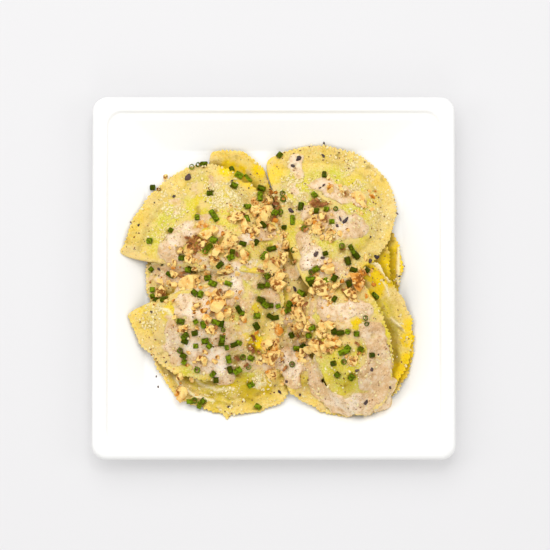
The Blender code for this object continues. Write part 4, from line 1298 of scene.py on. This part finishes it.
def pieces_recipe(name, shapes, material):
    """One of several shapes at every point, by the point's own kind, turn and size, all times one size."""
    recipe = Recipe(name)
    geometry = recipe.entry("Geometry")
    times = recipe.entry("Size", default=1.0)
    size = recipe.node("ShaderNodeVectorMath", {"operation": "SCALE"}, {
        0: recipe.named("size", "FLOAT_VECTOR"), "Scale": times})
    stock = recipe.node("GeometryNodeCollectionInfo", None, {
        "Collection": shapes, "Separate Children": True, "Reset Children": True})
    spin = recipe.node("FunctionNodeEulerToRotation", None, {"Euler": recipe.named("turn", "FLOAT_VECTOR")})
    placed = recipe.node("GeometryNodeInstanceOnPoints", None, {
        "Points": geometry, "Instance": stock, "Pick Instance": True,
        "Instance Index": recipe.named("kind", "INT"), "Rotation": spin, "Scale": size})
    recipe.close(placed, material)
    return recipe


def strewn_recipe(name, shapes, material, seed):
    """Small shapes strewn over a surface as thickly as its density says."""
    recipe = Recipe(name)
    geometry = recipe.entry("Geometry")
    per_area = recipe.entry("Per square centimetre", default=10.0)
    smallest = recipe.entry("Smallest", default=0.0003)
    largest = recipe.entry("Largest", default=0.0006)
    flatness = recipe.entry("Flatness", default=0.6)
    density = recipe.named("density") * per_area * 10000.0
    points = recipe.node("GeometryNodeDistributePointsOnFaces", {"distribute_method": "RANDOM"}, {
        "Mesh": geometry, "Density": density, "Seed": seed})
    rotation = Number(recipe, points.socket.node.outputs["Rotation"])
    tone = recipe.node("FunctionNodeRandomValue", {"data_type": "FLOAT"}, {"Seed": seed + 1}, output=1)
    points = recipe.store(points, "tone", tone)
    spread = recipe.node("FunctionNodeRandomValue", {"data_type": "FLOAT"}, {"Seed": seed + 2}, output=1)
    long_side = smallest + (largest - smallest) * spread * spread
    size = recipe.node("ShaderNodeCombineXYZ", None, {
        "X": long_side, "Y": long_side * 0.75, "Z": long_side * flatness})
    spin = recipe.node("FunctionNodeRandomValue", {"data_type": "FLOAT_VECTOR"}, {
        "Min": (-0.4, -0.4, 0.0), "Max": (0.4, 0.4, 6.283), "Seed": seed + 3}, output=0)
    turned = recipe.node("FunctionNodeRotateRotation", {"rotation_space": "LOCAL"}, {
        "Rotation": rotation,
        "Rotate By": recipe.node("FunctionNodeEulerToRotation", None, {"Euler": spin})})
    stock = recipe.node("GeometryNodeCollectionInfo", None, {
        "Collection": shapes, "Separate Children": True, "Reset Children": True})
    placed = recipe.node("GeometryNodeInstanceOnPoints", None, {
        "Points": points, "Instance": stock, "Pick Instance": True, "Rotation": turned, "Scale": size,
        "Instance Index": recipe.node("FunctionNodeRandomValue", {"data_type": "INT"}, {
            "Min": 0, "Max": 30, "Seed": seed + 4}, output=2)})
    recipe.close(placed, material)
    return recipe


def lump(rng, subdivisions, cuts, roughness, flat=1.0):
    """A broken lump about 2 across: a bumpy ball with flat breaks, and skin only where it was never cut."""
    body = bmesh.new()
    bmesh.ops.create_icosphere(body, subdivisions=subdivisions, radius=1.0)
    waves = np.vstack([rng.normal(size=(5, 3)) * 2.2, rng.normal(size=(5, 3)) * 6.0])
    phases = rng.uniform(0, 2 * math.pi, 10)
    hollow = body.verts.layers.float.new("hollow")
    for vert in body.verts:
        swell = np.sin(waves @ np.array(vert.co) + phases)
        swell = float(swell[:5].sum() + 0.45 * swell[5:].sum())
        # How far a point sinks into the lump; the walnut material paints shade there.
        vert[hollow] = min(1.0, max(0.0, 0.4 - 0.22 * swell))
        vert.co *= 1 + roughness * swell / 2.5
    for _ in range(cuts):
        normal = Vector(rng.normal(size=3)).normalized()
        cut = bmesh.ops.bisect_plane(
            body, geom=body.verts[:] + body.edges[:] + body.faces[:], plane_no=normal,
            plane_co=normal * rng.uniform(0.4, 0.8), clear_outer=True)
        rim = [item for item in cut["geom_cut"] if isinstance(item, bmesh.types.BMEdge)]
        faces = bmesh.ops.edgeloop_fill(body, edges=rim)["faces"]
        for face in faces:
            face.tag = True
            face.material_index = 1
    for vert in body.verts:
        vert.co.z *= flat
    bmesh.ops.remove_doubles(body, verts=body.verts, dist=0.003)
    bmesh.ops.triangulate(body, faces=[f for f in body.faces if len(f.verts) > 4])
    bmesh.ops.recalc_face_normals(body, faces=body.faces)
    mesh = bpy.data.meshes.new("lump")
    body.to_mesh(mesh)
    body.free()
    cut = np.zeros(len(mesh.vertices))
    for polygon in mesh.polygons:
        if polygon.material_index == 1:
            cut[list(polygon.vertices)] = 1
        polygon.material_index = 0
    give(mesh, "skin", 1 - cut)
    return mesh


def flake(rng, columns=7, rows=5, bend=0.35, thickness=0.09):
    """A thin curled flake about 2 long, closed all round."""
    u, v = np.meshgrid(np.linspace(-1, 1, columns), np.linspace(-1, 1, rows))
    ragged = 1 + 0.18 * rng.normal(size=u.shape)
    x, y = u * ragged, 0.62 * v * ragged * np.sqrt(1 - 0.55 * u ** 2)
    z = bend * (x ** 2 * rng.uniform(0.3, 1) + y ** 2 * rng.uniform(0.5, 1.5)) + 0.04 * rng.normal(size=u.shape)
    top = np.column_stack([x.ravel(), y.ravel(), z.ravel() + thickness / 2])
    low = top - (0, 0, thickness)
    faces, wall = [], []
    total = columns * rows
    for r in range(rows - 1):
        for c in range(columns - 1):
            a = r * columns + c
            quad = (a, a + 1, a + columns + 1, a + columns)
            faces.append(quad)
            faces.append([total + k for k in reversed(quad)])
    edge = (list(range(columns)) + [r * columns + columns - 1 for r in range(1, rows)]
            + [(rows - 1) * columns + c for c in reversed(range(columns - 1))]
            + [r * columns for r in reversed(range(1, rows - 1))])
    for a, b in zip(edge, edge[1:] + edge[:1]):
        wall.append((b, a, total + a, total + b))
    mesh = mesh_from("flake", np.vstack([top, low]), faces + wall)
    give(mesh, "skin", np.ones(2 * total))
    return mesh


class Stock:
    """A hidden collection of shapes for a recipe, cleared after use."""

    def __init__(self, name, meshes):
        self.collection = bpy.data.collections.new(name)
        for k, mesh in enumerate(meshes):
            self.collection.objects.link(bpy.data.objects.new("%s_%02d" % (name, k), mesh))

    def clear(self):
        for item in list(self.collection.objects):
            mesh = item.data
            bpy.data.objects.remove(item, do_unlink=True)
            bpy.data.meshes.remove(mesh)
        bpy.data.collections.remove(self.collection)


def heap_guide(name, density, steepest=1.8, step=2):
    """The heap's surface as an open mesh that carries a density, where there is any and it is not too steep."""
    steepness = np.hypot(*np.gradient(heap.top, PITCH))
    density = density * np.clip(steepest - steepness, 0, 1)
    keep = density[::step, ::step] > 0.01
    rows, columns = keep.shape
    index = np.arange(rows * columns).reshape(rows, columns)
    used = keep[:-1, :-1] & keep[1:, :-1] & keep[:-1, 1:] & keep[1:, 1:]
    quads = np.stack([index[:-1, :-1], index[:-1, 1:], index[1:, 1:], index[1:, :-1]], -1)[used]
    points = np.stack([a[::step, ::step] for a in (GRID_X, GRID_Y, heap.top)], -1).reshape(-1, 3)
    numbers, faces = np.unique(quads, return_inverse=True)
    mesh = mesh_from(name, points[numbers], faces.reshape(-1, 4).tolist())
    give(mesh, "density", density[::step, ::step].ravel()[numbers])
    return mesh


# ---- Operators ----

class RAVIOLI_OT_plate(bpy.types.Operator):
    """Makes the square fibre plate with its rolled lip"""

    bl_idname = "ravioli.plate"
    bl_label = "Plate"

    def execute(self, context):
        sizes = settings(context, "plate")
        add_piece(context, "fibre_plate", plate_mesh(sizes), fibre_material(sizes), "plate")
        heap.top = plate_heights(sizes)
        heap.food = np.zeros_like(heap.top)
        heap.colouring = {name: np.zeros_like(heap.top) for name in COLOURING}
        return {"FINISHED"}


class RAVIOLI_OT_ravioli(bpy.types.Operator):
    """Lays the twelve ravioli on the plate and on each other"""

    bl_idname = "ravioli.ravioli"
    bl_label = "Ravioli"

    def execute(self, context):
        if heap.top is None:
            raise RuntimeError("make the plate before the ravioli")
        sizes = settings(context, "pasta")
        material = pasta_material(sizes)
        pile = [Raviolo(row, order, sizes) for order, row in enumerate(PILE)]
        for raviolo in pile:
            heap.top = raviolo.lay(heap.top)
            heap.food = np.where(raviolo.inside, 1.0, heap.food)
        # The smoothed heap, against which the painted shade in the gaps is measured.
        smoothed_heap = blurred(heap.top, 0.0024)
        for raviolo in pile:
            slot = "pasta_gold" if raviolo.node in GOLD_SLOT else "pasta"
            mesh = raviolo.mesh(smoothed_heap)
            add_piece(context, mesh.name, mesh, material, raviolo.node)
        return {"FINISHED"}


class RAVIOLI_OT_sauce(bpy.types.Operator):
    """Pours the sauce in streaks and pools over the ravioli"""

    bl_idname = "ravioli.sauce"
    bl_label = "Sauce"

    def execute(self, context):
        if heap.food is None or not heap.food.any():
            raise RuntimeError("lay the ravioli before the sauce")
        sizes = settings(context, "sauce")
        ragged = sizes.ragged * (0.6 * grain(21, 0.006) + 0.35 * grain(22, 0.0026))
        swell = np.clip(1 + 0.22 * grain(23, 0.007) + 0.16 * grain(24, 0.0026), 0.4, 2)
        away, depth = np.full_like(GRID_X, 1.0), np.zeros_like(GRID_X)
        for thickness, streak in SAUCE:
            outside = streak_distance(streak, 1.25, 0.8) + ragged
            inward = np.clip(-outside / (sizes.edge * (0.5 + 0.5 / thickness)), 0, 1)
            depth = np.maximum(depth, thickness ** 2 * sizes.depth * np.sqrt(inward * (2 - inward)) ** (2.2 - thickness))
            away = np.minimum(away, outside)
        depth *= swell
        level = heap.top + (blurred(heap.top, 0.0022) - heap.top) * np.clip(depth / sizes.depth, 0, 1)
        sunk = 0.0003
        top = level + depth - sunk
        keep = away < 0.0004
        rows, columns = keep.shape
        index = np.arange(rows * columns).reshape(rows, columns)
        used = keep[:-1, :-1] & keep[1:, :-1] & keep[:-1, 1:] & keep[1:, 1:]
        pinched = used[:-1, :-1] & used[1:, 1:] & ~used[:-1, 1:] & ~used[1:, :-1]
        used[:-1, 1:] |= pinched
        pinched = used[:-1, 1:] & used[1:, :-1] & ~used[:-1, :-1] & ~used[1:, 1:]
        used[:-1, :-1] |= pinched
        quads = np.stack([index[:-1, :-1], index[:-1, 1:], index[1:, 1:], index[1:, :-1]], -1)[used]
        sides = np.concatenate([quads[:, (k, (k + 1) % 4)] for k in range(4)])
        seen = set(map(tuple, sides.tolist()))
        border = [(a, b) for a, b in seen if (b, a) not in seen]
        total = rows * columns
        under = np.minimum(heap.top - 0.0009, top - 0.0004)
        points = np.stack([
            np.concatenate([GRID_X.ravel()] * 2), np.concatenate([GRID_Y.ravel()] * 2),
            np.concatenate([top.ravel(), under.ravel()])], -1)
        faces = np.concatenate([
            quads, quads[:, ::-1] + total,
            np.array([(b, a, a + total, b + total) for a, b in sorted(border)])])
        numbers, faces = np.unique(faces, return_inverse=True)
        mesh = mesh_from("walnut_sauce", points[numbers], faces.reshape(-1, 4).tolist())
        fullness = np.clip(depth / (1.3 * sizes.depth), 0, 1).ravel()
        give(mesh, "depth", np.concatenate([fullness, fullness])[numbers])
        fields = {"film": film_field(), "stain": stain_and_shade_field(), "milky": spots(MILKY, 0.8)}
        for name, field in {**heap.colouring, **fields}.items():
            give(mesh, name, np.concatenate([field.ravel()] * 2)[numbers])
        add_piece(context, "walnut_sauce", mesh, sauce_material(sizes, settings(context, "pasta")))
        heap.top = np.where(keep, np.maximum(heap.top, top), heap.top)
        return {"FINISHED"}


class RAVIOLI_OT_walnuts(bpy.types.Operator):
    """Drops pieces of walnut, their crumbs and their skins on the sauce"""

    bl_idname = "ravioli.walnuts"
    bl_label = "Walnuts"

    def execute(self, context):
        sizes = settings(context, "topping")
        material = walnut_material(sizes)
        rng = np.random.default_rng(31)
        stock = Stock("walnut_shapes", [lump(rng, 4, 7, 0.24) for _ in range(8)])
        table = np.array(WALNUTS)
        x, y, radius = table[:, 0] * MM, table[:, 1] * MM, table[:, 2] * MM
        soft = blurred(heap.top, 0.0015)
        points = np.column_stack([x, y, sample(soft, x, y) + 0.45 * radius])
        count = len(table)
        stretch = rng.uniform([0.95, 0.75, 0.6], [1.35, 1.05, 0.85], (count, 3))
        tone = np.choose(table[:, 3].astype(int), (0.02, 0.55, 0.95)) + rng.uniform(-0.12, 0.12, count)
        turn = np.column_stack([rng.uniform(-0.35, 0.35, (count, 2)), rng.uniform(0, 6.283, count)])
        guide = points_mesh("walnut_points", points, turn=turn, size=stretch * radius[:, None],
                            tone=tone, kind=rng.integers(0, 8, count))
        mesh = pieces_recipe("walnut_pieces", stock.collection, material).run(
            context, guide, Size=sizes.nut_size)
        add_piece(context, "walnut_pieces", mesh, sharp=math.radians(50))
        stock.clear()
        for px, py, pr in zip(x, y, radius):
            near = np.hypot(GRID_X - px, GRID_Y - py) < 0.8 * pr
            heap.top = np.where(near, np.maximum(heap.top, sample(soft, px, py) + 0.85 * pr), heap.top)

        stock = Stock("crumb_shapes", [lump(rng, 2, 4, 0.2) for _ in range(6)])
        around = spots([(a, b, r + 8.5, 0.5 + 0.15 * r) for a, b, r, _ in WALNUTS], 1.0)
        density = np.clip(around, 0, 1) ** 1.5 * (heap.food > 0)
        recipe = strewn_recipe("walnut_crumbs", stock.collection, material, 41)
        mesh = recipe.run(context, heap_guide("crumb_guide", density, 6.0), **{
            "Per square centimetre": sizes.crumbs, "Smallest": 0.0005, "Largest": 0.0023,
            "Flatness": 0.7})
        add_piece(context, "walnut_crumbs", mesh, sharp=math.radians(50))
        stock.clear()

        stock = Stock("skin_shapes", [flake(rng) for _ in range(5)])
        table = np.array(SKINS)
        x, y = table[:, 0] * MM, table[:, 1] * MM
        count = len(table)
        points = np.column_stack([x, y, sample(heap.top, x, y) + 0.0005])
        turn = np.column_stack([rng.uniform(-0.5, 0.5, (count, 2)), rng.uniform(0, 6.283, count)])
        guide = points_mesh("skin_points", points, turn=turn, size=np.outer(table[:, 2] * MM / 2, (1, 0.8, 1)),
                            tone=rng.uniform(0, 1, count), kind=rng.integers(0, 5, count))
        skin = grain_material("walnut_skin", sizes.nut_skin, (0.55, 0.24, 0.06), 0.4, size=0.0016, contrast=3.5)
        mesh = pieces_recipe("walnut_skins", stock.collection, skin).run(
            context, guide, Size=sizes.skin_size)
        add_piece(context, "walnut_skins", mesh, sharp=math.radians(60))
        stock.clear()
        return {"FINISHED"}


class RAVIOLI_OT_chives(bpy.types.Operator):
    """Strews short lengths of hollow chive"""

    bl_idname = "ravioli.chives"
    bl_label = "Chives"

    def execute(self, context):
        sizes = settings(context, "topping")
        rng = np.random.default_rng(51)
        table = np.array(CHIVES)
        x, y, length = table[:, 0] * MM, table[:, 1] * MM, table[:, 3] * MM
        length = np.where(length < 2.05 * MM, length, np.maximum(0.86 * length, 2.5 * MM))
        yaw = np.radians(table[:, 2])
        soft = blurred(heap.top, 0.0010)
        half_x, half_y = np.cos(yaw) * length / 2, np.sin(yaw) * length / 2
        ahead, behind = sample(soft, x + half_x, y + half_y), sample(soft, x - half_x, y - half_y)
        squash = rng.uniform(0.68, 0.92, len(table))
        standing = length < 2.05 * MM
        tilt = np.arctan2(ahead - behind, length)
        rest = np.maximum((ahead + behind) / 2, sample(soft, x, y))
        height = np.where(standing, rest + length * 0.5 + 0.0003,
                          rest + sizes.chive_radius * squash * 0.85)
        lean = rng.uniform(-0.45, 0.45, (len(table), 2))
        pitch = np.where(standing, lean[:, 0], math.pi / 2 - np.clip(tilt, -0.7, 0.7))
        roll = np.where(standing, lean[:, 1], 0.0)
        turn = np.column_stack([roll, pitch, yaw])
        width = rng.uniform(0.80, 1.10, len(table))
        reach = np.where(standing, np.maximum(length, 1.3 * MM), length)
        size = np.column_stack([np.where(standing, width * 0.95, width * squash), width, reach])
        guide = points_mesh("chive_points", np.column_stack([x, y, height]), turn=turn, size=size,
                            tone=rng.uniform(0, 1, len(table)))
        mesh = chive_recipe(chive_material(sizes)).run(
            context, guide, Radius=sizes.chive_radius, Wall=sizes.chive_wall)
        add_piece(context, "chives", mesh, sharp=math.radians(40))
        return {"FINISHED"}


class RAVIOLI_OT_seasoning(bpy.types.Operator):
    """Grates cheese, grinds pepper and drops chips of mushroom over the dish"""

    bl_idname = "ravioli.seasoning"
    bl_label = "Seasoning"

    def execute(self, context):
        sizes = settings(context, "topping")
        rng = np.random.default_rng(61)
        food = heap.food > 0
        stock = Stock("grain_shapes", [lump(rng, 1, 2, 0.15) for _ in range(5)])
        patch = np.clip(0.7 + 0.5 * grain(62, 0.007), 0, 2)
        cheese = grain_material("grated_cheese", sizes.cheese, (0.72, 0.54, 0.22), 0.5)
        mesh = strewn_recipe("grated_cheese", stock.collection, cheese, 71).run(
            context, heap_guide("cheese_guide", (spots(CHEESE, 0.8) + 0.05) * patch * food), **{
                "Per square centimetre": sizes.flakes, "Smallest": 0.0003, "Largest": 0.0012,
                "Flatness": 0.6})
        add_piece(context, "grated_cheese", mesh)
        pepper = grain_material("ground_pepper", sizes.pepper, (0.42, 0.19, 0.07), 0.5)
        mesh = strewn_recipe("ground_pepper", stock.collection, pepper, 81).run(
            context, heap_guide("pepper_guide", patch * food), **{
                "Per square centimetre": sizes.grains, "Smallest": 0.00016, "Largest": 0.00070,
                "Flatness": 0.7})
        add_piece(context, "ground_pepper", mesh)
        stock.clear()

        stock = Stock("chip_shapes", [lump(rng, 2, 4, 0.25, 0.6) for _ in range(6)])
        table = np.array(CHIPS)
        x, y, length = (table[:, k] * MM for k in range(3))
        count = len(table)
        points = np.column_stack([x, y, sample(heap.top, x, y) + 0.12 * length])
        turn = np.column_stack([rng.uniform(-0.3, 0.3, (count, 2)), rng.uniform(0, 6.283, count)])
        guide = points_mesh(
            "chip_points", points, turn=turn, tone=rng.uniform(0, 1, count), kind=rng.integers(0, 6, count),
            size=rng.uniform([0.55, 0.3, 0.3], [0.65, 0.5, 0.45], (count, 3)) * length[:, None])
        chip = grain_material("dark_mushroom", sizes.mushroom, (0.15, 0.085, 0.07), 0.42)
        mesh = pieces_recipe("mushroom_chips", stock.collection, chip).run(
            context, guide, Size=sizes.chip_size)
        add_piece(context, "mushroom_chips", mesh, sharp=math.radians(50))
        stock.clear()
        return {"FINISHED"}


class RAVIOLI_OT_stage(bpy.types.Operator):
    """Sets up the pale floor, the soft light and the camera"""

    bl_idname = "ravioli.stage"
    bl_label = "Stage"

    def execute(self, context):
        look = settings(context, "stage")
        scene = context.scene
        wide = 2.5
        mesh = mesh_from("floor", [(x, y, -0.0002) for x, y in (
            (-wide, -wide), (wide, -wide), (wide, wide), (-wide, wide))], [(0, 1, 2, 3)])
        floor = bpy.data.objects.new("floor", mesh)
        scene.collection.objects.link(floor)
        finish = Finish("pale_floor")
        cloud = finish.noise(0.3, 2)
        mesh.materials.append(finish.surface(
            Base_Color=finish.mix(cloud * 0.3, look.floor, [c * 0.985 for c in look.floor]),
            Roughness=0.8, Specular_IOR_Level=0.2,
            Emission_Color=(1.0, 0.993, 1.0, 1.0), Emission_Strength=look.glow))

        world = bpy.data.worlds.new("soft_fill")
        world.use_nodes = True
        background = world.node_tree.nodes["Background"]
        background.inputs["Color"].default_value = (1.0, 0.995, 0.985, 1.0)
        background.inputs["Strength"].default_value = look.sky
        scene.world = world
        self.add_light(scene, "key", (-0.18, 0.84, 1.32), 1.7, look.key)
        self.add_light(scene, "left", (-1.25, 0.10, 1.00), 0.9, look.side)
        self.add_light(scene, "right", (1.25, 0.00, 1.00), 0.9, look.side * 0.9)
        self.add_light(scene, "front", (0.00, -1.30, 0.95), 0.9, look.side * 0.8)
        self.add_light(scene, "glint", (0.22, 0.62, 1.35), 0.10, look.glint)
        scene.view_settings.view_transform = "Standard"

        camera = bpy.data.objects.new("camera", bpy.data.cameras.new("camera"))
        scene.collection.objects.link(camera)
        lip = Vector((0.0007, 0.0014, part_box("plate")[1].z))
        back = Vector((0, -math.cos(look.elevation), math.sin(look.elevation)))
        camera.location = lip + back * look.distance
        camera.rotation_mode = "QUATERNION"
        camera.rotation_quaternion = (-back).to_track_quat("-Z", "Y")
        camera.data.lens = camera.data.sensor_width * look.distance / look.across
        camera.data.clip_start, camera.data.clip_end = 0.1, 20
        scene.camera = camera
        return {"FINISHED"}

    @staticmethod
    def add_light(scene, name, place, size, power):
        light = bpy.data.lights.new(name, "AREA")
        light.shape, light.size, light.energy = "DISK", size, power
        lamp = bpy.data.objects.new(name, light)
        lamp.location = place
        lamp.rotation_mode = "QUATERNION"
        lamp.rotation_quaternion = (-Vector(place)).to_track_quat("-Z", "Y")
        scene.collection.objects.link(lamp)


OPERATORS = (RAVIOLI_OT_plate, RAVIOLI_OT_ravioli, RAVIOLI_OT_sauce, RAVIOLI_OT_walnuts,
             RAVIOLI_OT_chives, RAVIOLI_OT_seasoning, RAVIOLI_OT_stage)
GROUPS = {"plate": PlateSettings, "pasta": PastaSettings, "sauce": SauceSettings,
          "topping": ToppingSettings, "stage": StageSettings}


class RAVIOLI_PT_sidebar(bpy.types.Panel):
    """Lists the steps of the dish and its sizes"""

    bl_idname = "RAVIOLI_PT_sidebar"
    bl_label = "Ravioli in Walnut Sauce"
    bl_space_type = "VIEW_3D"
    bl_region_type = "UI"
    bl_category = "Ravioli"

    def draw(self, context):
        for operator in OPERATORS:
            self.layout.operator(operator.bl_idname)
        for name, group in GROUPS.items():
            box = self.layout.box()
            box.label(text=name.capitalize())
            for key in group.__annotations__:
                box.prop(settings(context, name), key)


def register():
    for item in (*GROUPS.values(), *OPERATORS, RAVIOLI_PT_sidebar):
        bpy.utils.register_class(item)
    for name, group in GROUPS.items():
        setattr(bpy.types.Scene, "ravioli_" + name, bpy.props.PointerProperty(type=group))


def unregister():
    for name in GROUPS:
        delattr(bpy.types.Scene, "ravioli_" + name)
    for item in (RAVIOLI_PT_sidebar, *reversed(OPERATORS), *reversed(GROUPS.values())):
        bpy.utils.unregister_class(item)


def main():
    register()
    for operator in OPERATORS:
        group, name = operator.bl_idname.split(".")
        getattr(getattr(bpy.ops, group), name)()


if __name__ == "__main__":
    main()
